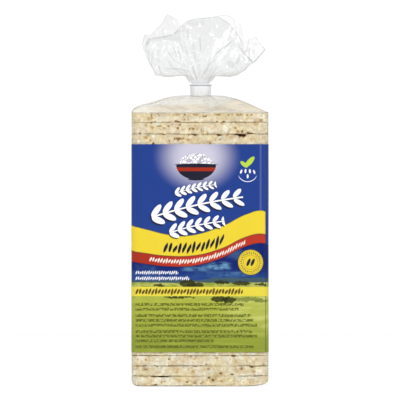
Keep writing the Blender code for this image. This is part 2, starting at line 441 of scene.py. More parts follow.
@dataclass(frozen=True)
class ClearFilm:
    """Thin clear film: it lets most light through, mirrors more at a slant, and has fine creases."""

    name: str = "clear_film"
    tint: Colour = (0.965, 0.968, 0.970)
    facing_mirror: float = 0.05
    slant_power: float = 3.5
    roughness: float = 0.06
    crease_scale: float = 95.0
    crease_height: float = 0.5 * MM
    # Tan of the rice dust, which over the top cake is also a painted reflection of the cake.
    dust: Colour = (0.78, 0.71, 0.56)
    haze: Colour = (0.85, 0.855, 0.735)
    husk: Colour = (0.70, 0.56, 0.36)
    crease_shade_tint: Colour = (0.62, 0.62, 0.63)
    edge_tint: Colour = (0.50, 0.52, 0.48)
    edge_power: float = 6.0
    edge_dark: float = 0.8

    def material(self) -> bpy.types.Material:
        """Returns the material.

        A piece's attribute dust clouds the film with rice dust, partly a painted reflection of the top cake,
        and its attribute fold darkens creases and free edges with painted shade.
        """
        material, wire = new_material(self.name)
        place = wire.object_space()
        crumple = wire.cells(place, self.crease_scale, distance="MANHATTAN")
        fine = wire.cells(place, self.crease_scale * 2.7, distance="MANHATTAN")
        height = wire.times_plus(fine.outputs["Distance"], 0.3, crumple.outputs["Distance"])
        normal = wire.bump(height, self.crease_height)
        weight = wire.node("ShaderNodeLayerWeight")
        weight.inputs["Blend"].default_value = 0.5
        wire.feed(weight.inputs["Normal"], normal)
        slant = wire.maths("POWER", weight.outputs["Facing"], self.slant_power)
        share = wire.times_plus(slant, 1.0 - self.facing_mirror, self.facing_mirror)
        amount = wire.attribute("dust")
        share = wire.times(share, wire.ramp(amount, 0.10, 0.50, 1.0, 0.15))
        through = wire.node("ShaderNodeBsdfTransparent")
        # Painted shade: the attribute fold darkens the light let through along creases, free edges and side
        # folds.
        crease_shade = wire.attribute("fold")
        thick = wire.times(wire.maths("POWER", weight.outputs["Facing"], self.edge_power), self.edge_dark)
        clear = wire.blend(thick, self.tint, self.edge_tint)
        wire.feed(through.inputs["Color"], wire.blend(crease_shade, clear, self.crease_shade_tint))
        powder = wire.node("ShaderNodeBsdfDiffuse")
        cloud = wire.blend(wire.ramp(amount, 0.28, 0.55), self.haze, self.dust)
        speckle = wire.ramp(wire.grain(place, 190.0, 4.0), 0.45, 0.65, 0.0, 0.35)
        wire.feed(powder.inputs["Color"], wire.blend(speckle, cloud, self.husk))
        clouds = wire.ramp(wire.grain(wire.scaled(place, (1.0, 1.0, 2.5)), 60.0, 3.0), 0.35, 0.65, 0.7, 1.25)
        shine = wire.node("ShaderNodeBsdfGlossy")
        wire.feed(shine.inputs["Color"], (1.0, 1.0, 1.0))
        shine.inputs["Roughness"].default_value = self.roughness
        wire.feed(shine.inputs["Normal"], normal)
        dusty = wire.mixed(wire.times(amount, clouds), through, powder)
        wire.surface(wire.mixed(share, dusty, shine))
        return material


@dataclass(frozen=True)
class BandPlastic:
    """Milky plastic of the neck band, with a painted shadow line in the groove under its rim."""

    colour: Colour = (0.77, 0.79, 0.83)
    streak: Colour = (0.83, 0.85, 0.88)
    shadow: Colour = (0.25, 0.25, 0.29)
    groove_height: float = 193.6 * MM
    groove_half: float = 0.15 * MM
    roughness: float = 0.3
    shine: float = 0.5
    streak_depth: float = 0.06 * MM

    def material(self) -> bpy.types.Material:
        """Returns the material."""
        material, wire = new_material("band_plastic")
        place = wire.object_space()
        streaks = wire.grain(wire.scaled(place, (1.0, 1.0, 0.15)), 900.0, 3.0)
        colour = wire.blend(wire.ramp(streaks, 0.3, 0.7), self.colour, self.streak)
        # Painted shadow: a thin dark line at the groove's height, where the rim shades the band.
        away = wire.away(wire.axes(place)[2], self.groove_height)
        painted_darkness = wire.ramp(away, self.groove_half, self.groove_half * 1.6, 1.0, 0.0)
        colour = wire.blend(painted_darkness, colour, self.shadow)
        wire.surface(wire.plastic(colour, self.roughness, self.shine, wire.bump(streaks, self.streak_depth)))
        return material


def corner_lift(x: float, z: float) -> float:
    """Returns how far the rounded lower corners of the pack lift a point of it.

    Args:
        x: How far right of the middle the point is.
        z: Its height.

    Returns:
        The lift, which fades to nothing a little above the base.
    """
    for side, width, height in ((-1, 5.5 * MM, 2.9 * MM), (1, 15.0 * MM, 3.4 * MM)):
        into = (side * x - (44.0 * MM - width)) / width
        if into > 0:
            round_up = 1 - math.sqrt(max(0.0, 1 - min(into, 1.0) ** 2))
            return height * round_up * (1 - smoothstep(0.0, 9.0 * MM, z))
    return 0.0


@dataclass(frozen=True)
class Mark:
    """A dent with painted shade in it, a stain or a pale patch on the front of one cake. A pale patch has its
    painted shade below zero, which paints it paler.
    """

    cake: int
    x: float
    z: float
    half_width: float
    half_height: float
    depth: float
    painted_shade: float = 1.0
    scorch: float = 0.0

    def strength(self, point: Vector) -> float:
        """Returns how much of the mark a point takes, from 0 to 1."""
        x, z = point.x / MM, point.z / MM
        away = math.hypot((x - self.x) / self.half_width, (z - self.z) / self.half_height)
        if away > 1.5:
            return 0.0
        away += 0.5 * noise.noise(point / (0.9 * MM))
        return smoothstep(1.0, 0.40, away)


@dataclass
class RiceCake:
    """One thin square cake of puffed rice, its edge craggy and its pits darkened with painted shade."""

    number: int
    low: float
    high: float
    half_width: float
    corner_radius: float
    columns: int
    side_rows: int
    face_shares: tuple[float, ...]
    marks: tuple[Mark, ...] = ()
    fine_top: bool = False
    grain_size: float = 4.4 * MM
    grain_height: float = 0.36 * MM
    puff_size: float = 1.7 * MM
    puff_height: float = 0.22 * MM
    pit_depth: float = 1.1 * MM
    rim_round: float = 0.15 * MM
    open_seam: float = 0.0
    tear: float = 0.75
    gap: float = 0.05 * MM
    pit_share: float = 1.0
    lower_seam: Line = ()
    upper_seam: Line = ()

    def profile(self) -> list[tuple[float, float, float, float]]:
        """Returns the section from the middle of the bottom to the middle of the top.

        Returns:
            Points of (share of the width, height, way out, way up), where the last two make a unit vector.
        """
        height = self.high - self.low
        rim = min(self.rim_round, height / 3)
        rim_share = 1 - rim / self.half_width
        bottom = [(share, self.low, 0.0, -1.0) for share in self.face_shares]
        top_shares = self.face_shares
        if self.fine_top:
            count = int(self.half_width / (0.75 * MM))
            top_shares = tuple(step / count * rim_share for step in range(count + 1))
        top = [(share, self.high, 0.0, 1.0) for share in reversed(top_shares)]
        side = []
        for turn in (0.0, 0.5, 1.0):
            angle = math.pi / 2 * turn
            out, down = math.sin(angle), -math.cos(angle)
            side.append((1 - rim / self.half_width * (1 - out), self.low + rim * (1 + down), out, down))
        for row in range(1, self.side_rows):
            share = row / self.side_rows
            side.append((1.0, lerp(self.low + rim, self.high - rim, share), 1.0, 0.0))
        for turn in (1.0, 0.5, 0.0):
            angle = math.pi / 2 * turn
            out, up = math.sin(angle), math.cos(angle)
            side.append((1 - rim / self.half_width * (1 - out), self.high - rim * (1 - up), out, up))
        return bottom + side + top

    def relief(self, place: Vector, level: float) -> Pair:
        """Returns how far a point of the surface stands out, and how much painted shade its hollows give it.

        Args:
            place: The point on the smooth cake.
            level: How upright the surface is there, 0 on the faces and 1 on the side.

        Returns:
            The height out in metres, and the painted shade from 0 to 1.
        """
        seed = Vector((self.number * 0.37, self.number * 0.91, self.number * 0.13))
        drift = noise.noise_vector(place / (2.6 * MM) + seed)
        near = noise.voronoi(place / self.grain_size + seed + drift * 0.28)[0]
        pillow = smoothstep(0.0, 0.42, near[1] - near[0])
        puff = noise.voronoi(place / self.puff_size + seed * 3 + drift * 0.4)[0]
        small = smoothstep(0.0, 0.5, puff[1] - puff[0])
        pit = smoothstep(0.36, 0.58, noise.noise(place / (1.8 * MM) + seed * 5))
        pit *= smoothstep(-0.10, 0.30, noise.noise(place / (9.0 * MM) + seed * 2))
        pit *= (0.35 + 0.65 * level) * self.pit_share
        out = self.grain_height * (pillow - 1.0) + self.puff_height * (small - 1.0)
        out = out - self.pit_depth * pit * 0.8
        # Painted shade, deepest in pits and in the valleys between grains.
        painted_shade = min(1.0, pit * 0.66 + (1 - pillow) * 0.26 + (1 - small) * 0.14)
        return out, painted_shade

    def rim_wear(self, place: Vector) -> float:
        """Returns how far the cake's rim is worn back at a place on its edge, in metres."""
        seed = Vector((self.number * 1.7, 3.1, 4.0 if place.z > (self.low + self.high) / 2 else 9.0))
        flat = Vector((place.x, place.y, 0))
        wear = smoothstep(-0.1, 0.5, noise.noise(flat / (3.4 * MM) + seed))
        tear = smoothstep(0.34, 0.60, noise.noise(flat / (2.4 * MM) + seed * 2))
        return (0.08 * wear + self.tear * tear) * MM

    def closed(self, place: Vector, upper: bool) -> float:
        """Returns how far the groove to the next cake is closed at a place, where grains of both have met."""
        seam = self.number if upper else self.number - 1
        meeting = noise.noise(Vector((place.x / (8 * MM), place.y / (8 * MM), seam * 1.37)))
        line = self.upper_seam if upper else self.lower_seam
        if line and place.y < -0.85 * self.half_width:
            fine = noise.noise(Vector((place.x / (2.2 * MM), 3.0, seam * 2.1)))
            return 1 - min(1.0, max(0.0, along(line, place.x / MM) * (1 + 0.5 * meeting + 0.5 * fine)))
        return smoothstep(self.open_seam, self.open_seam + 0.2, meeting)

    def build(self, material: bpy.types.Material) -> bpy.types.Object:
        """Builds the cake.

        Args:
            material: Its finish.

        Returns:
            The cake's object, tied to the body.
        """
        profile = self.profile()
        painted_shades: list[float] = []
        scorches: list[float] = []
        middle = (self.low + self.high) / 2
        half_height = (self.high - self.low) / 2

        def place(across: float, up: float) -> Vector:
            """Returns a point of the craggy surface and notes its painted shade and how scorched it is."""
            share, height, out_share, up_share = profile[round(up * (len(profile) - 1))]
            ring, out = rounded_square(across, self.half_width, self.corner_radius)
            point = Vector((ring.x * share, ring.y * share, height))
            level_share = up_share
            shut = 0.0
            if share > 0.9 and abs(up_share) > 0.3 and not (self.fine_top and up_share > 0):
                shut = self.closed(point, up_share > 0)
                level_share *= 0.3 * (1 - shut)
                if share > 0.99:
                    meet = self.high + self.gap / 2 if up_share > 0 else self.low - self.gap / 2
                    edge = Vector((ring.x, ring.y, meet))
                    point = point.lerp(edge, shut)
            point.z += corner_lift(point.x, point.z)
            if share < 0.9 and not (self.fine_top and up_share > 0.5):
                painted_shades.append(0.0)
                scorches.append(0.0)
                return point
            rim = abs(height - middle) / half_height
            drop, painted_shade = self.relief(point, out_share)
            if share < 0.02:
                drop = 0.0
            worn = self.rim_wear(point) * smoothstep(0.60, 1.0, rim) if share > 0.95 else 0.0
            scorch = 0.0
            if share > 0.92 and point.y < 0.4 * -self.half_width:
                for mark in self.marks:
                    amount = mark.strength(point)
                    drop -= mark.depth * MM * amount
                    if mark.painted_shade < 0:
                        painted_shade = lerp(painted_shade, mark.painted_shade, amount)
                    painted_shade = max(painted_shade, mark.painted_shade * amount)
                    scorch = max(scorch, mark.scorch * amount)
            point += Vector((out.x * out_share, out.y * out_share, level_share)) * drop
            if worn:
                pull = (-1 if height > middle else 1) * worn * 0.5 * rim
                inward = worn * smoothstep(0.955, 0.99, share)
                point += Vector((-out.x * inward, -out.y * inward, pull))
            # Painted shade in the groove between two cakes, less where the groove closes; a worn rim adds more
            # below.
            if 0.9 < share < 0.995 and not (self.fine_top and up_share > 0.5):
                painted_shade = max(painted_shade, 0.82 * (1 - 0.75 * shut))
            painted_shades.append(min(1.0, painted_shade + 0.9 * worn / MM))
            scorches.append(scorch)
            return point

        name = f"rice_cake_{self.number:02d}"
        values = {"painted_shade": painted_shades, "scorch": scorches}
        cake = formed_grid(name, self.columns, len(profile) - 1, place, values)
        fit_out(cake, Finish.CAKE, material, "rice_cakes")
        return cake


@dataclass
class CakeStack:
    """The stack of cakes: those above and below the print in full detail, those behind it plain."""

    count: int = 25
    base: float = 0.30 * MM
    top: float = 176.0 * MM
    half_width: float = 43.55 * MM
    corner_radius: float = 4.2 * MM
    bottom_heights: tuple[float, ...] = (6.4 * MM, 6.5 * MM, 6.7 * MM, 6.8 * MM)
    top_heights: tuple[float, ...] = (6.4 * MM, 7.5 * MM, 7.1 * MM)
    shown_columns: int = 720
    hidden_columns: int = 96
    shown_shares: tuple[float, ...] = (0.0, 0.5, 0.85, 0.93, 0.96, 0.98)
    hidden_shares: tuple[float, ...] = (0.0, 0.6, 0.9, 0.97)
    shown_rows: int = 14
    hidden_rows: int = 3
    seam_gaps: Pair = (0.16 * MM, 0.05 * MM)
    open_from: Pair = (0.05, 0.25)
    tears: Pair = (0.30, 0.75)
    pit_shares: Pair = (0.5, 1.0)
    open_seams: dict[int, Line] = field(default_factory=lambda: {
        1: ((-44, 0.6), (-34, 0.5), (-32, 1.5), (-15, 1.5), (-12, 0.1), (24, 0.1), (27, 0.9), (40, 0.9)),
        2: ((-44, 0.4), (-39, 0.5), (-37, 1.5), (4, 1.4), (7, 0.0), (22, 0.0), (24, 1.1), (40, 0.9)),
        3: ((-44, 0.9), (-26, 1.2), (-24, 0.3), (13, 0.3), (15, 1.5), (22, 1.5), (24, 0.4), (40, 0.5)),
        22: ((-44, 0.3), (44, 0.3)),
        23: ((-44, 1.5), (-28, 1.5), (-24, 0.9), (44, 0.9)),
        24: ((-44, 0.6), (44, 0.6)),
    })
    marks: Rows = (
        (23, 26.0, 162.1, 5.2, 1.2, 0.8, 1.0, 0.8), (23, 26.6, 161.3, 3.2, 1.9, 0.8, 1.0, 1.0),
        (24, 31.8, 162.3, 4.6, 0.8, 0.5, 0.95, 0.4), (24, 30.8, 162.9, 1.1, 0.8, 0.6, 1.0, 0.3),
        (23, -3.5, 161.5, 2.0, 1.1, 0.7, 1.0), (23, 12.5, 161.5, 3.2, 0.9, 0.7, 1.0),
        (23, -14.0, 158.9, 3.8, 1.9, 0.5, 0.86), (23, -8.0, 158.5, 3.2, 1.0, 0.3, 0.74),
        (23, -34.7, 159.7, 2.4, 1.6, 0.4, 0.78), (23, 13.0, 158.5, 1.6, 1.1, 0.5, 0.84),
        (23, 20.2, 159.9, 2.4, 1.2, 0.2, 0.70), (23, 33.9, 158.8, 2.6, 1.2, 0.2, 0.68),
        (24, -14.4, 165.8, 1.4, 1.2, 0.5, 0.88), (24, -13.1, 167.9, 1.3, 1.1, 0.5, 0.84),
        (24, -4.4, 165.5, 2.3, 1.6, 0.4, 0.82), (24, 0.9, 164.2, 0.6, 2.2, 0.3, 0.82),
        (24, -30.7, 166.1, 2.2, 1.6, 0.3, 0.76), (24, 22.8, 165.9, 1.2, 1.0, 0.4, 0.84),
        (24, 24.3, 163.5, 1.2, 0.9, 0.4, 0.90), (25, 15.2, 169.8, 1.7, 0.8, 0.7, 1.0),
        (25, 10.8, 169.9, 1.1, 0.7, 0.4, 0.95), (25, 24.0, 169.8, 4.2, 0.5, 0.4, 0.85),
        (25, -14.0, 170.0, 2.0, 0.9, 0.6, 0.95), (25, -29.0, 169.9, 1.2, 0.5, 0.6, 0.9),
        (25, 39.2, 171.1, 3.2, 1.9, 0.2, 0.78), (25, -15.4, 174.4, 6.0, 1.0, 0.2, 0.76),
        (25, -9.9, 174.4, 1.3, 1.1, 0.3, 1.0), (25, -2.8, 174.4, 3.2, 1.0, 0.2, 0.80),
        (25, 3.0, 173.5, 3.8, 1.2, 0.3, 0.86), (25, 11.6, 174.4, 4.4, 1.0, 0.2, 0.84),
        (25, 18.2, 174.3, 1.1, 0.9, 0.3, 1.0), (25, 20.6, 174.3, 1.1, 0.9, 0.3, 1.0),
        (25, 25.0, 174.4, 3.0, 1.0, 0.2, 0.80), (25, 30.2, 174.3, 1.1, 0.8, 0.3, 0.95),
        (25, 33.0, 174.3, 1.1, 0.8, 0.3, 0.95), (25, -33.0, 172.0, 2.6, 2.2, 0.2, 0.68),
        (24, 36.2, 168.2, 3.0, 1.1, 0.2, 0.68), (24, 24.0, 164.0, 2.0, 1.6, 0.2, 0.55),
        (1, 30.0, 5.0, 7.0, 2.4, 0.0, -1.0), (1, -38.5, 4.0, 4.0, 2.8, 0.0, -0.8),
        (1, -22.0, 4.6, 7.0, 1.5, 0.0, -0.7), (2, -24.5, 10.6, 6.5, 2.4, 0.0, -0.8),
        (2, 0.5, 10.3, 5.0, 2.6, 0.0, -1.0), (2, 37.5, 10.2, 3.0, 2.4, 0.0, -0.9),
        (3, -38.6, 17.2, 2.8, 2.8, 0.0, -0.9), (24, -37.6, 167.0, 2.8, 2.6, 0.0, -0.8),
        (24, 16.3, 166.0, 2.6, 2.6, 0.0, -0.8), (25, -2.0, 171.4, 8.5, 1.5, 0.0, -0.5),
        (1, -24.4, 6.3, 8.6, 0.75, 0.8, 0.95), (1, -28.6, 1.0, 2.4, 0.8, 0.5, 0.95),
        (1, 7.8, 3.9, 4.4, 2.2, 0.3, 0.66), (1, 8.2, 3.9, 1.1, 1.7, 0.6, 0.95),
        (1, 5.6, 5.6, 1.5, 0.9, 0.4, 0.92), (1, -24.5, 2.7, 1.2, 1.1, 0.3, 0.78),
        (1, -14.0, 3.9, 3.2, 2.0, 0.2, 0.66), (1, -8.2, 2.7, 1.8, 0.9, 0.3, 0.92),
        (1, -3.5, 2.2, 2.1, 0.8, 0.3, 0.88), (1, 1.2, 2.2, 1.7, 0.7, 0.3, 0.84),
        (1, 21.6, 4.2, 1.5, 2.6, 0.2, 0.66), (1, 28.1, 2.4, 1.1, 0.8, 0.3, 0.80),
        (2, 13.4, 8.3, 1.4, 1.1, 1.0, 1.0), (2, 20.7, 7.6, 1.5, 1.1, 0.9, 1.0),
        (2, 26.8, 11.2, 1.6, 0.9, 0.6, 0.86), (2, 33.0, 12.5, 1.4, 0.9, 0.8, 1.0),
        (2, -35.0, 10.9, 4.4, 1.8, 0.2, 0.72), (2, -34.5, 11.0, 2.0, 0.8, 0.2, 0.86),
        (2, 34.5, 9.4, 2.0, 1.4, 0.2, 0.72), (2, 5.3, 11.2, 2.0, 1.3, 0.3, 0.82),
        (2, -4.1, 9.1, 1.6, 1.8, 0.2, 0.66), (2, -14.6, 9.7, 1.3, 2.6, 0.2, 0.64),
        (2, -3.0, 13.0, 2.6, 0.6, 0.4, 0.95), (2, -20.0, 13.0, 1.5, 0.6, 0.4, 1.0),
        (2, -27.5, 13.0, 1.3, 0.6, 0.4, 1.0), (3, -20.0, 17.6, 1.2, 1.0, 0.5, 0.85),
        (3, -3.2, 17.9, 2.6, 1.3, 0.2, 0.68), (3, 10.5, 18.4, 2.6, 1.1, 0.2, 0.72),
        (3, 23.4, 15.5, 1.7, 1.7, 0.3, 0.62), (3, -40.0, 17.0, 0.7, 1.8, 0.4, 0.85),
        (3, -6.0, 19.6, 2.0, 0.5, 0.3, 0.85), (3, 22.0, 19.5, 3.4, 0.5, 0.3, 0.88),
        (3, 36.0, 17.8, 1.2, 0.9, 0.5, 0.7),
    )

    def seams(self) -> list[float]:
        """Returns the height of the base, of each face where two cakes meet, and of the top."""
        shown = sum(self.bottom_heights) + sum(self.top_heights)
        hidden = self.count - len(self.bottom_heights) - len(self.top_heights)
        each = (self.top - self.base - shown) / hidden
        heights = [*self.bottom_heights, *([each] * hidden), *reversed(self.top_heights)]
        seams = [self.base]
        for height in heights:
            seams.append(seams[-1] + height)
        return seams

    def build(self, material: bpy.types.Material) -> list[bpy.types.Object]:
        """Builds every cake of the stack, from the lowest."""
        seams = self.seams()
        cakes = []
        for number in range(1, self.count + 1):
            upper = number > self.count / 2
            gap = self.seam_gaps[upper]
            detailed = number <= len(self.bottom_heights) or number > self.count - len(self.top_heights)
            cake = RiceCake(
                number=number,
                low=seams[number - 1] + gap / 2,
                high=seams[number] - gap / 2,
                gap=gap,
                half_width=self.half_width,
                corner_radius=self.corner_radius,
                columns=self.shown_columns if detailed else self.hidden_columns,
                side_rows=self.shown_rows if detailed else self.hidden_rows,
                face_shares=self.shown_shares if detailed else self.hidden_shares,
                marks=tuple(Mark(*row) for row in self.marks if row[0] == number),
                fine_top=number == self.count,
                open_seam=self.open_from[upper],
                tear=self.tears[upper],
                pit_share=self.pit_shares[upper],
                lower_seam=self.open_seams.get(number - 1, ()),
                upper_seam=self.open_seams.get(number, ()),
            )
            cakes.append(cake.build(material))
        return cakes


@dataclass
class BagFilm:
    """The clear film round the stack: a base below the print, and a shoulder from the print to the neck."""

    half_width: float = 43.95 * MM
    corner_radius: float = 4.4 * MM
    print_bottom: float = 22.0 * MM
    print_top: float = 155.5 * MM
    tuck: float = 1.0 * MM
    stack_top: float = 176.2 * MM
    neck_bottom: float = 187.1 * MM
    neck_half: Pair = (5.3 * MM, 3.5 * MM)
    dome_reach: float = 0.88
    left_fullness: float = 0.95
    right_fullness: float = 1.12
    base_round: float = 1.8 * MM
    pleats: int = 13
    pleat_height: float = 0.45 * MM
    # Over the top cake the film is clouded partly by rice dust and partly by a painted tan reflection of the
    # cake, densest below the line.
    low_dust_and_reflection: float = 0.60
    high_dust: float = 0.24
    dust_and_reflection_line: Line = (
        (-44, 2.0), (-38, 2.4), (-28, 4.6), (-12, 5.2), (0, 4.8), (7, 3.2), (13, 6.2), (24, 8.6),
        (33, 6.5), (44, 3.0),
    )
    sparkle_at: Pair = (3.6 * MM, 183.6 * MM)
    sparkle_reach: float = 3.2 * MM
    sparkle_height: float = 0.9 * MM
    back_seam_sides: Pair = (-9.0 * MM, 0.6 * MM)
    back_seam_reach: Pair = (4.0 * MM, 174.5 * MM)
    back_seam_milk: float = 0.26
    rib_pitch: float = 2.4 * MM
    rib_height: float = 0.07 * MM
    ripple_mm: float = 0.07
    skin: float = 0.04 * MM
    columns: int = 420
    base_rows: int = 60
    shoulder_rows: int = 110
    back_seam_faces: tuple[int, int] = (10, 560)

    def wall(self, across: float, height: float) -> Vector:
        """Returns a point of the film on the side of the stack, with faint upright ripples."""
        ring, out = rounded_square(across, self.half_width, self.corner_radius)
        ripple = noise.noise(Vector((ring.x / (5 * MM), ring.y / (5 * MM), height / (16 * MM))))
        ripple += 0.5 * noise.noise(Vector((ring.x / (1.8 * MM), ring.y / (1.8 * MM), height / (7 * MM))))
        return Vector((ring.x, ring.y, height)) + out * ripple * self.ripple_mm * MM

    def base_place(self, across: float, up: float) -> Vector:
        """Returns a point of the base film: flat underneath, rounded up into the wall."""
        flat_part, round_part = 0.35, 0.55
        ring, _ = rounded_square(across, self.half_width, self.corner_radius)
        if up < flat_part:
            share = up / flat_part * (1 - self.base_round / self.half_width)
            fold = abs(abs(ring.x) - abs(ring.y)) / self.half_width
            lift = 0.12 * MM * smoothstep(0.0, 0.12, fold) * smoothstep(0.15, 0.4, share)
            point = Vector((ring.x * share, ring.y * share, self.skin + lift))
        elif up < round_part:
            turn = (up - flat_part) / (round_part - flat_part) * math.pi / 2
            share = 1 - self.base_round / self.half_width * (1 - math.sin(turn))
            height = self.base_round * (1 - math.cos(turn))
            point = Vector((ring.x * share, ring.y * share, height + self.skin))
        else:
            share = (up - round_part) / (1 - round_part)
            height = lerp(self.base_round, self.print_bottom + self.tuck, share)
            point = self.wall(across, height + self.skin * (1 - up))
        point.z += corner_lift(point.x, point.z)
        return point

    def shoulder_place(self, across: float, up: float) -> Vector:
        """Returns a point of the film from under the print's upper edge, over the stack, to the neck."""
        wall_part = 0.4
        if up < wall_part:
            return self.wall(across, lerp(self.print_top - self.tuck, self.stack_top, up / wall_part))
        inward = ((up - wall_part) / (1 - wall_part)) ** 1.7
        start = self.wall(across, self.stack_top)
        turn = 2 * math.pi * across
        end = Vector((-math.sin(turn) * self.neck_half[0], math.cos(turn) * self.neck_half[1], 0))
        side = start.x / (2 * self.half_width) + 0.5
        fullness = lerp(self.left_fullness, self.right_fullness, side)
        rise = self.neck_bottom - self.stack_top
        point = start.lerp(end, inward)
        wave = math.asin(math.sin(self.pleats * turn + 1.9 * math.sin(2 * turn) + 0.8 * math.sin(5 * turn)))
        wave += 0.45 * math.asin(math.sin(2.7 * self.pleats * turn + 2.3 * math.sin(3 * turn)))
        arch = math.sin(math.pi / 2 * min(1.0, inward / self.dome_reach))
        fullness *= lerp(lerp(0.58, 1.0, side), 1.0, smoothstep(0.0, 0.45, inward))
        point.z = self.stack_top + rise * arch**fullness
        point.z += self.pleat_height * wave * inward**0.8 * (1 - inward)
        if point.y < 0:
            away = math.hypot(point.x - self.sparkle_at[0], point.z - self.sparkle_at[1]) / self.sparkle_reach
            shake = noise.noise(point / (1.1 * MM))
            point.z += self.sparkle_height * shake * math.exp(-(away**2))
        return point

    def back_seam_place(self, across: float, up: float) -> Vector:
        """Returns a point of the back seam: a ribbed flap of film that lies flat on the back."""
        height = lerp(self.back_seam_reach[0], self.back_seam_reach[1], up)
        ribs = self.rib_height * math.sin(2 * math.pi * height / self.rib_pitch)
        wave = 0.15 * MM * noise.noise(Vector((across * 0.7, height / (14 * MM), 5.0)))
        x = lerp(self.back_seam_sides[0], self.back_seam_sides[1], across)
        return Vector((x, self.half_width + 0.65 * MM + ribs + wave, height))

    def dust(self, point: Vector) -> float:
        """Returns how much rice dust, and painted reflection of the top cake, clouds the film at a point: clear
        on the walls, cloudy over the top cake.
        """
        over = smoothstep(self.stack_top - 1.0 * MM, self.stack_top + 1.5 * MM, point.z)
        wave = 1.6 * MM * noise.noise(Vector((point.x / (9 * MM), point.z / (3 * MM), point.y / (30 * MM))))
        top = self.stack_top + along(self.dust_and_reflection_line, point.x / MM) * MM + wave
        high = smoothstep(top - 2.6 * MM, top + 2.6 * MM, point.z)
        return over * lerp(self.low_dust_and_reflection, self.high_dust, high)

    def build(self, material: bpy.types.Material) -> list[bpy.types.Object]:
        """Builds the base film, the shoulder film and the back seam."""
        base = formed_grid("film_base", self.columns, self.base_rows, self.base_place)
        shoulder = formed_grid("film_shoulder", self.columns, self.shoulder_rows, self.shoulder_place)
        paint(shoulder, "dust", [self.dust(vertex.co) for vertex in shoulder.data.vertices])
        flap = formed_grid("film_back_seam", *self.back_seam_faces, self.back_seam_place)
        paint(flap, "dust", [self.back_seam_milk] * len(flap.data.vertices))
        fit_out(base, Finish.FILM, material, "rice_cakes")
        fit_out(shoulder, Finish.FILM, material, "bag", "rice_cakes")
        fit_out(flap, Finish.FILM, material)
        return [base, shoulder, flap]


@dataclass(frozen=True)
class Crease:
    """A sharp fold in one sheet of the loose film, with painted shade along it, measured in mm to the right of
    and above the neck.
    """

    path: Line
    painted_darkness: float = 0.45
    height: float = 0.7
    half_width: float = 1.7
    line: float = 0.34

    def at(self, x: float, z: float) -> Pair:
        """Returns how far the film stands out at a place, in mm, and how much painted shade it takes there,
        from 0 to 1.
        """
        nearest = self.half_width
        for (low_x, low_z), (high_x, high_z) in zip(self.path, self.path[1:]):
            way_x, way_z = high_x - low_x, high_z - low_z
            share = ((x - low_x) * way_x + (z - low_z) * way_z) / (way_x**2 + way_z**2)
            share = min(max(share, 0.0), 1.0)
            nearest = min(nearest, math.hypot(x - low_x - share * way_x, z - low_z - share * way_z))
        out = self.height * (1 - nearest / self.half_width)
        return out, self.painted_darkness * smoothstep(self.line * 1.6, self.line * 0.4, nearest)


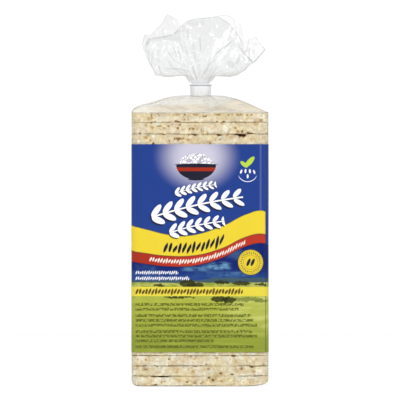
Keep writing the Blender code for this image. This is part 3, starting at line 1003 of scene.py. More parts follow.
@dataclass
class FilmFan:
    """The loose film above the neck: two sheets that fan out from the band, pleated and crumpled."""

    neck: Vector = field(default_factory=lambda: Vector((0.4 * MM, 0, 194.9 * MM)))
    neck_bottom: float = 186.4 * MM
    neck_half: Pair = (5.4 * MM, 3.4 * MM)
    left_end: float = -80.0
    right_end: float = 69.2
    front_edge: Line = (
        (-80, 29.5), (-74, 31.6), (-67, 36.2), (-57, 43.0), (-50, 44.4), (-45, 42.0), (-40, 39.0),
        (-32, 36.9), (-26, 36.7), (-22, 38.2), (-15, 40.4), (-6.6, 41.6), (1.3, 42.2), (9, 43.2),
        (14.2, 44.5), (19.4, 43.8), (25.9, 42.6), (32.8, 40.7), (37.7, 39.4), (46.7, 37.6), (51, 35.6),
        (55.4, 34.2), (60, 34.6), (64, 35.8), (69.2, 36.4),
    )
    back_edge: Line = (
        (-80, 29.5), (-74, 32.0), (-67, 37.0), (-56, 45.5), (-49, 48.2), (-46, 45.1), (-33, 46.0),
        (-25.8, 49.9), (-23, 47.0), (-19.4, 43.9), (-18.8, 39.0), (-15, 41.0), (-6.6, 41.9), (1.3, 42.5),
        (9, 43.5), (14.2, 45.1), (17.7, 46.7), (22.8, 47.6), (27.1, 47.2), (32.0, 43.0), (32.9, 46.6),
        (35.0, 45.9), (41, 41.5), (46.4, 38.8), (47.4, 44.8), (48.5, 43.0), (49.8, 46.8), (56.1, 46.6),
        (62.6, 47.2), (69.2, 36.4),
    )
    # Painted shade along the free edges of the front and back sheets, by angle.
    front_edge_shade: Line = (
        (-80, 0.35), (-60, 0.30), (-44, 0.15), (-22, 0.28), (0, 0.38), (12, 0.62), (26, 0.62),
        (40, 0.80), (48, 0.55), (56, 0.35), (69, 0.45),
    )
    back_edge_shade: Line = (
        (-80, 0.35), (-56, 0.50), (-46, 0.35), (-20, 0.38), (-14, 0.20), (14, 0.25), (30, 0.30),
        (46, 0.30), (50, 0.40), (58, 0.45), (63, 0.85), (69, 0.95),
    )
    front_creases: tuple[tuple, ...] = (
        (((10.2, 19.1), (19.3, 26.5)), 0.75, 0.9),
        (((0.3, 3.1), (3.8, 9.2), (6.7, 13.3), (10.0, 15.7)), 0.40, 0.9),
        (((24.1, 24.5), (28.1, 19.4), (33.8, 13.3)), 0.55, 0.6),
        (((-21.6, 9.2), (-15.9, 9.2), (-8.0, 7.6)), 0.40, 0.8), (((-27.0, 11.0), (-25.0, 4.9)), 0.45, 0.6),
        (((-32.5, 31.0), (-32.7, 26.6), (-37.2, 25.3)), 0.65, 0.6),
        (((-31.1, 19.8), (-31.8, 12.1), (-29.9, 7.0)), 0.40, 0.7),
        (((-27.6, 25.0), (-27.0, 14.0)), 0.22, 0.7, 1.7, 0.6),
        (((-37.0, 25.0), (-34.0, 26.6), (-33.4, 30.0)), 0.50, 0.5, 2.2, 1.4),
        (((-32.4, 29.2), (-25.0, 29.9), (-19.6, 31.2), (-14.8, 33.3)), 0.28, 0.5, 1.7, 0.9),
        (((-14.8, 33.3), (-8.5, 34.0), (-7.4, 29.0)), 0.28, 0.6, 1.7, 0.6),
        (((-13.4, 35.2), (-7.0, 38.0), (1.0, 39.4)), 0.20, 0.3, 2.6, 2.0),
        (((-16.0, 26.3), (-14.4, 19.8), (-12.5, 15.0)), 0.32, -0.9),
        (((-20.9, 20.5), (-17.0, 14.7)), 0.38, -0.9), (((-16.0, 13.6), (-8.0, 10.4)), 0.25, 0.8),
        (((-19.8, 22.4), (-16.6, 16.4)), 0.10, 0.5, 1.1), (((-18.2, 25.0), (-15.4, 17.6)), 0.25, -0.5, 1.1),
        (((-15.0, 24.5), (-13.2, 18.2)), 0.10, 0.55, 1.2), (((-22.6, 16.6), (-18.6, 11.2)), 0.22, 0.5, 1.2),
        (((7.0, 33.0), (9.6, 30.4)), 0.0, 0.8, 1.8),
        (((-1.0, 20.0), (2.4, 17.8), (5.6, 18.4)), 0.0, 0.8, 1.8),
        (((-13.0, 27.0), (-10.5, 19.0)), 0.25, 0.9), (((-10.4, 24.5), (-7.6, 15.5)), 0.25, -0.9, 1.2),
        (((-0.6, 29.5), (0.0, 21.0)), 0.35, 0.8), (((-5.5, 27.0), (-4.0, 14.0)), 0.25, -0.9),
        (((18.4, 12.9), (20.6, 12.1)), 0.32, -1.2, 2.8, 1.9),
        (((23.1, 13.2), (25.0, 16.0)), 0.38, -0.8, 1.8, 0.9), (((27.3, 17.0), (29.9, 10.9)), 0.25, 0.8),
        (((24.1, 19.5), (26.4, 9.0)), 0.20, 0.8), (((30.6, 14.5), (27.5, 7.5)), 0.20, -0.6),
        (((13.0, 6.0), (22.0, 7.2)), 0.18, 0.6), (((22.0, 11.0), (25.0, 6.6)), 0.22, 0.8, 1.2),
        (((25.6, 12.0), (28.6, 7.6)), 0.22, -0.8, 1.2), (((5.5, 3.1), (13.8, 8.3)), 0.30, 0.7),
        (((-2.2, 2.5), (-4.8, 10.9)), 0.30, 0.7), (((-5.0, 3.0), (-13.2, 7.0)), 0.30, -0.7),
        (((-0.8, 3.4), (-1.4, 14.7)), 0.25, 0.7), (((2.4, 3.0), (5.2, 17.0)), 0.22, -0.7),
    )
    back_creases: tuple[tuple, ...] = (
        (((-25.0, 37.8), (-23.4, 29.5)), 0.45, 0.6), (((-26.0, 36.0), (-31.5, 29.5)), 0.30, 0.6),
        (((-20.5, 44.5), (-22.4, 35.0)), 0.20, 0.8), (((22.4, 36.0), (24.0, 30.0)), 0.25, 0.6),
        (((34.0, 26.0), (38.5, 24.8)), 0.45, 0.7),
        (((41.6, 21.5), (38.4, 17.6), (34.2, 13.2)), 0.95, 0.5, 1.7, 0.5),
        (((29.8, 21.4), (28.4, 20.0)), 0.70, 0.5, 1.7, 0.4),
        (((-34.0, 22.0), (-33.0, 13.0), (-30.4, 8.0)), 0.30, 0.5, 1.7, 0.5),
        (((31.6, 22.0), (32.4, 15.5)), 0.35, -0.9, 2.2, 1.0),
        (((34.0, 21.5), (34.6, 17.0)), 0.30, -0.9, 2.2, 0.7),
        (((28.2, 19.6), (30.0, 22.0), (31.4, 30.0)), 0.40, 0.7),
    )
    left_fold: tuple[tuple[float, float, float], ...] = (
        (0.0, -5.4, 0.0), (0.12, -7.8, 1.6), (0.24, -10.1, 5.2), (0.4, -13.9, 5.1), (0.6, -18.9, 4.2),
        (0.8, -24.6, 4.2), (1.0, -29.05, 5.12),
    )
    right_fold: tuple[tuple[float, float, float], ...] = (
        (0.0, 5.4, 0.0), (0.12, 7.5, 2.0), (0.22, 9.9, 4.9), (0.35, 13.4, 4.7), (0.5, 18.6, 4.2),
        (0.65, 24.0, 5.5), (0.8, 28.9, 7.8), (0.9, 32.2, 10.4), (1.0, 34.03, 12.93),
    )
    rise: float = 8.0 * MM
    flare: float = 1.75
    belly: float = 12.0 * MM
    mouth: float = 7.5 * MM
    pleats: float = 11.0
    pleat_depth: float = 2.4 * MM
    crumple_depth: float = 1.35 * MM
    calm_angle: float = 23.0
    calm_spread: float = 22.0
    facets: Pair = (17.0, 5.0)
    flap_angles: tuple[float, float, float, float] = (-62.0, -54.0, -24.0, -18.0)
    flap_shade: float = 0.20
    curl: float = 0.20 * MM
    curl_turn: float = 2.4
    columns: int = 640
    rows: int = 140
    creases: dict[bool, list[Crease]] = field(init=False)

    def __post_init__(self) -> None:
        """Makes the creases of the front sheet and of the back one."""
        tables = {True: self.front_creases, False: self.back_creases}
        self.creases = {front: [Crease(*row) for row in table] for front, table in tables.items()}

    def sheet_point(self, share: float, front: bool, v: float) -> tuple[Vector, float]:
        """Returns a point of one sheet.

        Args:
            share: How far across, 0 at the left fold and 1 at the right.
            front: True for the sheet towards the front.
            v: How far up, 0 at the neck and 1 at the free edge.

        Returns:
            The point in metres, and the painted shade that a crease puts on it.
        """
        edge = self.front_edge if front else self.back_edge
        side = -1 if front else 1
        angle = lerp(self.left_end, self.right_end, share)
        reach = along(edge, angle) * MM
        turn = math.radians(angle)
        oval = math.pi * share
        start_x, start_y = -math.cos(oval) * self.neck_half[0], math.sin(oval) * self.neck_half[1]
        x = (1 - v) ** 2 * start_x + 2 * v * (1 - v) * start_x * self.flare + v**2 * reach * math.sin(turn)
        z = 2 * v * (1 - v) * self.rise + v**2 * reach * math.cos(turn)
        pull = abs(2 * share - 1) ** 5 * (1 - v**8)
        fold_path = self.right_fold if share > 0.5 else self.left_fold
        x = lerp(x, along(tuple((at, right) for at, right, _ in fold_path), v) * MM, pull)
        z = lerp(z, along(tuple((at, up) for at, _, up in fold_path), v) * MM, pull)
        width = math.sqrt(max(0.0, 1 - (2 * share - 1) ** 2))
        bulge = self.belly * math.sin(math.pi * v**0.8) * width + self.mouth * v * width
        phase = math.pi * self.pleats * share + 1.3 * math.sin(9 * share) + side
        wave = math.asin(math.sin(phase))
        fine = math.asin(math.sin(2.6 * phase + 1.1 * math.sin(5 * share)))
        pleat = wave * v**0.6 * (1 - 0.75 * v) + 0.5 * fine * v**0.5 * (1 - v) ** 1.3
        fold = self.pleat_depth * width * pleat
        at = Vector((share * self.facets[0], v * self.facets[1], 10.0 + side * 3))
        at += noise.noise_vector(at * 0.8) * 0.35
        facets = noise.voronoi(at, distance_metric="MANHATTAN")[0][0]
        small = noise.voronoi(at * 2.4, distance_metric="MANHATTAN")[0][0]
        calm = math.exp(-(((angle - self.calm_angle) / self.calm_spread) ** 2)) * smoothstep(0.40, 0.65, v)
        crush = self.crumple_depth * ((facets - 0.7) + 0.4 * (small - 0.7)) * smoothstep(0.05, 0.4, v)
        crush *= 1 - 0.7 * calm
        fold *= 1 - 0.8 * calm
        # Painted shade along the creases, and over the back sheet past the front sheet's edge.
        painted_darkness = 0.0
        for crease in self.creases[front]:
            out, line = crease.at(x / MM, z / MM)
            crush += out * MM
            painted_darkness = max(painted_darkness, line)
        if not front:
            past = v * along(self.back_edge, angle) - along(self.front_edge, angle)
            first, second, third, last = self.flap_angles
            within = smoothstep(first, second, angle) * smoothstep(last, third, angle)
            painted_darkness = max(painted_darkness, self.flap_shade * smoothstep(-0.5, 0.5, past) * within)
        depth = start_y * (1 - v) + bulge + fold + crush * (0.3 + 0.7 * width)
        slide = 0.9 * MM * math.sin(phase * 2.0) * v**0.5 * (1 - v) * width
        return Vector((x + slide, side * depth, z + 0.25 * crush)), painted_darkness

    def curled(self, share: float, front: bool, turn: float) -> Vector:
        """Returns a point of the free edge's small curl, at a turn from 0 at the sheet to 1 at the end."""
        edge, _ = self.sheet_point(share, front, 1.0)
        way = (edge - self.sheet_point(share, front, 0.97)[0]).normalized()
        out = Vector((0, -1 if front else 1, 0))
        angle = turn * self.curl_turn
        return edge + way * self.curl * (math.sin(angle) - angle) + out * self.curl * (1 - math.cos(angle))

    def place(self, across: float, up: float) -> tuple[Vector, float]:
        """Returns a point of the fan, or of the film inside the band below it, and the painted shade on it."""
        front = across <= 0.5
        share = across * 2 if front else 2 - across * 2
        inside, edge = 0.08, 0.965
        # Painted shade along the side folds.
        side_fold_shade = 0.30 * smoothstep(0.006, 0.0, min(share, 1 - share))
        if up < inside:
            base, _ = self.sheet_point(share, front, 0.0)
            drop = (1 - up / inside) * (self.neck.z - self.neck_bottom)
            return self.neck + base - Vector((0, 0, drop)), 0.0
        if up > edge:
            # Painted shade along the free edges.
            edge_shade = self.front_edge_shade if front else self.back_edge_shade
            rim = along(edge_shade, lerp(self.left_end, self.right_end, share))
            return self.neck + self.curled(share, front, (up - edge) / (1 - edge)), rim
        point, painted_darkness = self.sheet_point(share, front, (up - inside) / (edge - inside))
        return self.neck + point, max(painted_darkness, side_fold_shade)

    def build(self, material: bpy.types.Material) -> bpy.types.Object:
        """Builds the fan of film."""
        crease_shades: list[float] = []

        def place(across: float, up: float) -> Vector:
            """Returns a point of the fan and notes the painted shade that a crease or an edge puts on it."""
            point, painted_darkness = self.place(across, up)
            crease_shades.append(painted_darkness)
            return point

        fan = formed_grid("film_fan", self.columns, self.rows, place, {"fold": crease_shades})
        fit_out(fan, Finish.FILM, material, "bag")
        return fan


@dataclass
class NeckGather:
    """The bunched film that fills the neck inside the band."""

    centre_x: float = 0.4 * MM
    half: Pair = (6.2 * MM, 4.0 * MM)
    rim_height: float = 192.6 * MM
    middle_height: float = 194.3 * MM
    pleats: int = 11
    pleat_depth: float = 0.55 * MM
    twist: float = 2.2
    milk: float = 0.75
    columns: int = 220
    rows: int = 24

    def place(self, across: float, up: float) -> Vector:
        """Returns a point of the gather, from its rim at the band to its middle."""
        turn = 2 * math.pi * across
        share = 1 - up
        wave = math.asin(math.sin(self.pleats * turn + self.twist * math.sin(2 * turn) + 3.0 * share))
        lift = self.pleat_depth * wave * math.sin(math.pi * min(1.0, share * 1.1))
        height = lerp(self.middle_height, self.rim_height, share**1.6) + lift
        x = self.centre_x - math.sin(turn) * self.half[0] * share
        return Vector((x, math.cos(turn) * self.half[1] * share, height))

    def build(self, material: bpy.types.Material) -> bpy.types.Object:
        """Builds the gather."""
        gather = formed_grid("film_gather", self.columns, self.rows, self.place)
        paint(gather, "dust", [self.milk] * len(gather.data.vertices))
        fit_out(gather, Finish.FILM, material)
        return gather


@dataclass
class NeckBand:
    """The flat plastic band that closes the neck, with a rim along its upper edge."""

    centre_x: float = 0.4 * MM
    bottom: float = 186.8 * MM
    top: float = 194.7 * MM
    half_bottom: Pair = (6.5 * MM, 4.6 * MM)
    half_top: Pair = (7.1 * MM, 4.9 * MM)
    wall: float = 0.7 * MM
    rim_height: float = 0.9 * MM
    rim_reach: float = 0.25 * MM
    groove: float = 0.30 * MM
    columns: int = 96
    edge_round: float = 0.12 * MM
    edge_steps: int = 3

    def build(self, material: bpy.types.Material) -> bpy.types.Object:
        """Builds the band as an oval tube with rounded edges."""
        rim_low = self.top - self.rim_height
        outline = (
            (self.bottom, 0.0), (lerp(self.bottom, rim_low, 0.5), 0.0), (rim_low - 0.45 * MM, 0.0),
            (rim_low - 0.25 * MM, -self.groove), (rim_low, -self.groove), (rim_low, self.rim_reach),
            (self.top, self.rim_reach),
            (self.top, -self.wall), (rim_low, -self.wall), (self.bottom, -self.wall), (self.bottom, 0.0),
        )

        def place(across: float, up: float) -> Vector:
            """Returns a point of the band's skin."""
            height, out = outline[round(up * (len(outline) - 1))]
            share = (height - self.bottom) / (self.top - self.bottom)
            half_x = lerp(self.half_bottom[0], self.half_top[0], share) + out
            half_y = lerp(self.half_bottom[1], self.half_top[1], share) + out
            turn = 2 * math.pi * across
            return Vector((self.centre_x - math.sin(turn) * half_x, math.cos(turn) * half_y, height))

        band = formed_grid("neck_closure", self.columns, len(outline) - 1, place)
        bevel = band.modifiers.new("rounded edges", "BEVEL")
        bevel.width = self.edge_round
        bevel.segments = self.edge_steps
        bevel.limit_method = "ANGLE"
        apply_modifiers(band)
        band.data.shade_smooth()
        fit_out(band, Finish.BAND, material, "neck_band")
        return band


@dataclass
class PrintedWrap:
    """The printed part of the film, which runs round the stack."""

    half_width: float = 44.12 * MM
    corner_radius: float = 4.5 * MM
    bottom: float = 22.0 * MM
    top: float = 155.5 * MM
    ripple_mm: float = 0.07
    columns: int = 420
    rows: int = 130

    def build(self, material: bpy.types.Material) -> bpy.types.Object:
        """Builds the wrap with its own map, in which both numbers are in metres."""

        def place(across: float, up: float) -> Vector:
            """Returns a point of the wrap, faintly rippled."""
            ring, out = rounded_square(across, self.half_width, self.corner_radius)
            height = lerp(self.bottom, self.top, up)
            ripple = noise.noise(Vector((ring.x / (9 * MM), ring.y / (9 * MM), height / (30 * MM))))
            return Vector((ring.x, ring.y, height)) + out * ripple * self.ripple_mm * MM

        wrap = formed_grid("print_sleeve", self.columns, self.rows, place)
        round_length = 8 * (self.half_width - self.corner_radius) + 2 * math.pi * self.corner_radius
        layer = wrap.data.uv_layers.active
        layer.name = "print"
        for loop in layer.data:
            loop.uv = ((loop.uv.x - 0.5) * round_length, lerp(self.bottom, self.top, loop.uv.y))
        fit_out(wrap, Finish.PRINT, material, "printed_wrap")
        return wrap


@dataclass
class MaskGroup:
    """A node group that turns a place on the print into a mask of one shape."""

    name: str
    inputs: tuple[tuple[str, float], ...]
    tree: bpy.types.NodeTree = field(init=False)
    wire: Wiring = field(init=False)
    start: bpy.types.Node = field(init=False)

    def __post_init__(self) -> None:
        """Opens the group with its inputs."""
        self.tree = bpy.data.node_groups.new(self.name, "ShaderNodeTree")
        for label, value in self.inputs:
            socket = self.tree.interface.new_socket(label, in_out="INPUT", socket_type="NodeSocketFloat")
            socket.default_value = value
        self.tree.interface.new_socket("Mask", in_out="OUTPUT", socket_type="NodeSocketFloat")
        self.wire = Wiring(self.tree)
        self.start = self.wire.node("NodeGroupInput")

    def read(self, label: str) -> Socket:
        """Returns one of the group's inputs."""
        return self.start.outputs[label]

    def turned(self, across: object, height: object, turn: object) -> tuple[Socket, Socket]:
        """Returns a place in axes that are turned by an angle in radians."""
        wire = self.wire
        cosine, sine = wire.maths("COSINE", turn), wire.maths("SINE", turn)
        first = wire.times_plus(across, cosine, wire.times(height, sine))
        return first, wire.minus(wire.times(height, cosine), wire.times(across, sine))

    def oval(self, across: object, height: object, half_length: object, half_width: object) -> Socket:
        """Returns the mask of an oval about the origin, with an edge 0.2 mm soft."""
        wire = self.wire
        first = wire.maths("POWER", wire.maths("DIVIDE", across, half_length), 2.0)
        second = wire.maths("POWER", wire.maths("DIVIDE", height, half_width), 2.0)
        radius = wire.maths("SQRT", wire.plus(first, second))
        return wire.ramp(wire.times(wire.minus(radius, 1.0), half_width), -0.1, 0.1, 1.0, 0.0)

    def finish(self, mask: Socket) -> bpy.types.NodeTree:
        """Links the mask to the group's output and returns the group."""
        self.wire.feed(self.wire.node("NodeGroupOutput").inputs["Mask"], mask)
        return self.tree


@cache
def oval_group() -> bpy.types.NodeTree:
    """Returns a group that masks a turned oval. Lengths are in millimetres."""
    group = MaskGroup(
        "oval mask",
        (("Across", 0), ("Height", 0), ("Middle", 0), ("Level", 0), ("Length", 1), ("Width", 1), ("Turn", 0)),
    )
    across = group.wire.minus(group.read("Across"), group.read("Middle"))
    height = group.wire.minus(group.read("Height"), group.read("Level"))
    first, second = group.turned(across, height, group.read("Turn"))
    return group.finish(group.oval(first, second, group.read("Length"), group.read("Width")))


@cache
def row_group() -> bpy.types.NodeTree:
    """Returns a group that masks a row of leaning grains, no two neighbours alike."""
    group = MaskGroup(
        "grain row mask",
        (("Across", 0), ("Height", 0), ("Start", 0), ("End", 1), ("Pitch", 1), ("Length", 1), ("Width", 1),
         ("Lean", 0)),
    )
    wire = group.wire
    run = wire.minus(group.read("Across"), group.read("Start"))
    steps = wire.maths("DIVIDE", run, group.read("Pitch"))
    index = wire.maths("FLOOR", steps)
    local = wire.times(wire.minus(wire.minus(steps, index), 0.5), group.read("Pitch"))
    vary = wire.maths("SINE", wire.times(index, 2.4))
    lean = wire.times_plus(vary, 0.22, wire.minus(math.pi / 2, group.read("Lean")))
    lift = wire.times(wire.maths("SINE", wire.times(index, 4.1)), 0.12)
    high = wire.times_plus(group.read("Length"), lift, group.read("Height"))
    first, second = group.turned(local, high, lean)
    size = wire.times_plus(wire.maths("SINE", wire.times(index, 5.3)), 0.13, 0.93)
    length = wire.times(group.read("Length"), size)
    grains = group.oval(first, second, length, group.read("Width"))
    begun = wire.maths("GREATER_THAN", run, 0.0)
    ended = wire.maths("LESS_THAN", group.read("Across"), group.read("End"))
    return group.finish(wire.times(grains, wire.times(begun, ended)))


@cache
def ear_group() -> bpy.types.NodeTree:
    """Returns a group that masks a rice ear: a bowed stem with grains that lean out on both sides."""
    group = MaskGroup(
        "rice ear mask",
        (("Across", 0), ("Height", 0), ("Start", 0), ("Level", 0), ("Turn", 0), ("Length", 1), ("Scale", 1)),
    )
    wire = group.wire
    across = wire.minus(group.read("Across"), group.read("Start"))
    height = wire.minus(group.read("Height"), group.read("Level"))
    run, aside = group.turned(across, height, group.read("Turn"))
    run = wire.maths("DIVIDE", run, group.read("Scale"))
    aside = wire.maths("DIVIDE", aside, group.read("Scale"))
    length = wire.maths("DIVIDE", group.read("Length"), group.read("Scale"))
    share = wire.maths("DIVIDE", run, length)
    bow = wire.times(wire.minus(share, wire.maths("POWER", share, 2.0)), 5.0)
    aside = wire.minus(aside, bow)
    steps = wire.maths("DIVIDE", run, 6.6)
    local = wire.times(wire.minus(wire.maths("FRACT", steps), 0.5), 6.6)
    away = wire.minus(wire.maths("ABSOLUTE", aside), 2.7)
    first, second = group.turned(local, away, math.radians(38.0))
    size = wire.times_plus(share, -0.28, 1.08)
    grains = group.oval(first, second, wire.times(size, 3.9), wire.times(size, 1.55))
    stem = wire.ramp(wire.maths("ABSOLUTE", aside), 0.30, 0.55, 1.0, 0.0)
    shape = wire.maths("MAXIMUM", grains, stem)
    begun = wire.maths("GREATER_THAN", run, 0.0)
    ended = wire.maths("LESS_THAN", share, 1.0)
    return group.finish(wire.times(shape, wire.times(begun, ended)))


@dataclass
class Canvas:
    """The print while it is laid, one ink over another, at a place on the wrap in millimetres."""

    wire: Wiring
    across: Socket
    height: Socket
    colour: object

    def lay(self, mask: Socket, ink: object, strength: float = 1.0) -> None:
        """Lays an ink over the colour where a mask shows, by a strength."""
        share = mask if strength == 1.0 else self.wire.times(mask, strength)
        self.colour = self.wire.blend(share, self.colour, ink)

    def mask(self, group: bpy.types.NodeTree, *values: object) -> Socket:
        """Adds a mask group with its inputs in order and returns its mask."""
        made = self.wire.node("ShaderNodeGroup", node_tree=group)
        for socket, value in zip(made.inputs, values):
            self.wire.feed(socket, value)
        return made.outputs["Mask"]

    def oval(self, *values: float, height: Socket | None = None) -> Socket:
        """Returns the mask of an oval from its middle, level, half length, half width and turn."""
        return self.mask(oval_group(), self.across, self.height if height is None else height, *values)

    def row(self, height: Socket, *values: float) -> Socket:
        """Returns the mask of a row of grains from its start, end, pitch, length, width and lean."""
        return self.mask(row_group(), self.across, height, *values)

    def stripe(self, low: float, high: float) -> Socket:
        """Returns the mask of a level stripe between two heights."""
        lower = self.wire.ramp(self.height, low - 0.05, low + 0.10)
        return self.wire.times(lower, self.wire.ramp(self.height, high, high - 0.15))


@dataclass(frozen=True)
class PrintInk:
    """The print: fields of colour with plain motifs, laid out on the wrap's own map in millimetres."""

    blue: Colour = (0.017, 0.048, 0.240)
    glow: Colour = (0.55, 0.53, 0.64)
    yellow: Colour = (0.77, 0.59, 0.037)
    strip: Colour = (0.74, 0.62, 0.058)
    red: Colour = (0.455, 0.036, 0.018)
    dark_red: Colour = (0.35, 0.028, 0.013)
    sky: Colour = (0.004, 0.014, 0.140)
    low_sky: Colour = (0.016, 0.060, 0.250)
    cloud: Colour = (0.16, 0.37, 0.54)
    horizon: Colour = (0.44, 0.45, 0.11)
    far_hill: Colour = (0.055, 0.095, 0.085)
    bush: Colour = (0.024, 0.028, 0.004)
    hedge: Colour = (0.14, 0.17, 0.03)
    field_bright: Colour = (0.52, 0.55, 0.14)
    field_light: Colour = (0.41, 0.45, 0.06)
    field_dark: Colour = (0.25, 0.30, 0.03)
    furrow: Colour = (0.085, 0.10, 0.010)
    leaf: Colour = (0.45, 0.62, 0.06)
    white: Colour = (0.93, 0.93, 0.96)
    cream: Colour = (0.90, 0.82, 0.74)
    rice_shade: Colour = (0.36, 0.33, 0.42)
    seal: Colour = (0.80, 0.62, 0.045)
    brown: Colour = (0.09, 0.045, 0.01)
    line: Colour = (0.015, 0.015, 0.03)
    roughness: float = 0.16
    shine: float = 0.35
    ripple: float = 0.2 * MM
    painted_highlight_at: float = 38.9
    side_middle: float = 87.3
    side_half: float = 45.0
    girth: float = 345.2
    curve_top: float = 160.0
    glow_middle: Pair = (-2.0, 147.5)
    glow_half: Pair = (22.0, 18.5)
    bowl_at: Pair = (-2.5, 142.4)
    seal_at: Pair = (32.5, 79.7)
    bead_ring: float = 6.1
    bead_count: int = 28
    strip_reach: Pair = (58.0, 64.0)
    wave_top: Line = (
        (-172.6, 100.0), (-150, 103.5), (-120, 108.0), (-70, 110.5), (-43.5, 103.1), (-34.3, 100.8),
        (-19.6, 97.3), (-9.6, 96.6), (12.8, 102.3), (30.5, 110.8), (39.4, 113.0), (43.5, 111.7), (80, 100.0),
        (130, 94.5), (150, 96.6), (172.6, 100.0),
    )
    wave_low: Line = (
        (-172.6, 85.0), (-150, 88.2), (-120, 92.0), (-70, 94.5), (-43.5, 86.9), (-34.3, 85.4), (-22.6, 83.9),
        (-4.9, 83.9), (12.8, 88.2), (30.5, 96.3), (38.7, 98.0), (43.5, 97.2), (80, 86.0), (130, 80.3),
        (150, 82.0), (172.6, 85.0),
    )
    ears: Rows = (
        (-31.0, 108.6, 12.5, 60.0, 1.15), (-19.5, 98.6, 12.0, 36.0, 0.85), (-16.0, 124.0, 12.0, 27.0, 0.55),
    )
    leaves: Rows = ((28.3, 142.6, 2.9, 1.25, -40.0), (31.9, 144.2, 4.3, 1.6, 48.0))
    seeds: Rows = (
        (26.4, 137.9, 70.0), (29.2, 138.3, 85.0), (32.0, 138.2, 95.0), (34.8, 137.7, 110.0),
        (30.6, 134.9, 90.0),
    )
    furrows: Line = (
        (52.6, 28.5), (49.6, 25.0), (45.5, 33.0), (42.4, 34.5), (39.3, 37.0), (35.2, 33.9), (32.3, 37.0),
        (29.3, 9.0), (25.5, 35.0),
    )
    bushes: Rows = (
        (-8.0, 66.0, 5.2, 2.6), (-3.0, 65.0, 5.5, 1.9), (-26.5, 64.9, 3.6, 0.9), (14.0, 66.8, 5.0, 1.1),
        (26.5, 66.2, 6.0, 1.4), (39.0, 65.5, 4.0, 1.0), (-13.0, 57.3, 10.0, 0.7), (12.5, 56.0, 5.6, 1.9),
        (18.5, 55.6, 4.8, 2.0),
    )
    hedges: Rows = ((31.0, 55.9, 9.5, 1.5), (40.0, 54.8, 5.0, 1.0))
    clouds: Rows = (
        (3.0, 21.5, 74.2, 80.6, 1.0), (-14.0, 8.0, 73.4, 77.6, 0.5), (8.0, 34.0, 70.0, 74.5, 0.35),
    )

    def curve(self, canvas: Canvas, points: Line) -> Socket:
        """Returns how far a place is above a curve through points, which closes round the wrap."""
        wire = canvas.wire
        made = wire.node("ShaderNodeFloatCurve")
        line = made.mapping.curves[0]
        places = [((x / self.girth) + 0.5, y / self.curve_top) for x, y in points]
        line.points[0].location = places[0]
        line.points[1].location = places[-1]
        for place in places[1:-1]:
            line.points.new(*place)
        made.mapping.update()
        wire.feed(made.inputs["Value"], wire.times_plus(canvas.across, 1 / self.girth, 0.5))
        return wire.minus(canvas.height, wire.times(made.outputs[0], self.curve_top))

    def backdrop(self, wire: Wiring, across: Socket, height: Socket) -> Socket:
        """Returns the blue field with its pale glow."""
        squares = [
            wire.maths("POWER", wire.maths("DIVIDE", wire.minus(place, middle), half), 2.0)
            for place, middle, half in zip((across, height), self.glow_middle, self.glow_half)
        ]
        spread = wire.maths("SQRT", wire.plus(*squares))
        return wire.blend(wire.ramp(spread, 0.36, 1.34, 1.0, 0.0), self.blue, self.glow)

    def bowl(self, canvas: Canvas) -> None:
        """Lays a bowl heaped with rice."""
        wire, height = canvas.wire, canvas.height
        middle, rim = self.bowl_at
        above = wire.ramp(height, rim - 0.1, rim + 0.1)
        below = wire.ramp(height, rim - 0.1, rim + 0.1, 1.0, 0.0)
        grains = wire.cells(wire.flat(wire.times(canvas.across, 0.7), height), 0.62, "DISTANCE_TO_EDGE")
        rice = wire.blend(wire.ramp(grains.outputs["Distance"], 0.02, 0.16), self.rice_shade, self.white)
        canvas.lay(wire.times(canvas.oval(middle, rim, 11.2, 7.2), above), rice)
        body = wire.times(canvas.oval(middle, rim, 12.8, 9.6), below)
        canvas.lay(body, self.line)
        stripe = wire.ramp(wire.away(height, rim - 3.0), 1.1, 1.3, 1.0, 0.0)
        canvas.lay(wire.times(stripe, body), self.dark_red)
        canvas.lay(canvas.oval(middle, rim, 13.6, 0.7), self.line)
        canvas.lay(canvas.oval(middle, rim - 9.4, 5.2, 0.8), self.line)

    def sprig(self, canvas: Canvas) -> None:
        """Lays two green leaves over a white arc with five small grains."""
        for middle, level, length, width, turn in self.leaves:
            canvas.lay(canvas.oval(middle, level, length, width, math.radians(turn)), self.leaf)
        for middle, level, turn in self.seeds:
            canvas.lay(canvas.oval(middle, level, 1.35, 0.62, math.radians(turn)), self.white, 0.9)
        wire = canvas.wire
        ring = wire.minus(canvas.oval(30.6, 137.2, 6.3, 5.9), canvas.oval(30.6, 137.5, 6.1, 5.8))
        arc = wire.times(ring, wire.ramp(canvas.height, 136.0, 133.5))
        canvas.lay(wire.maths("MAXIMUM", arc, 0.0), self.white)

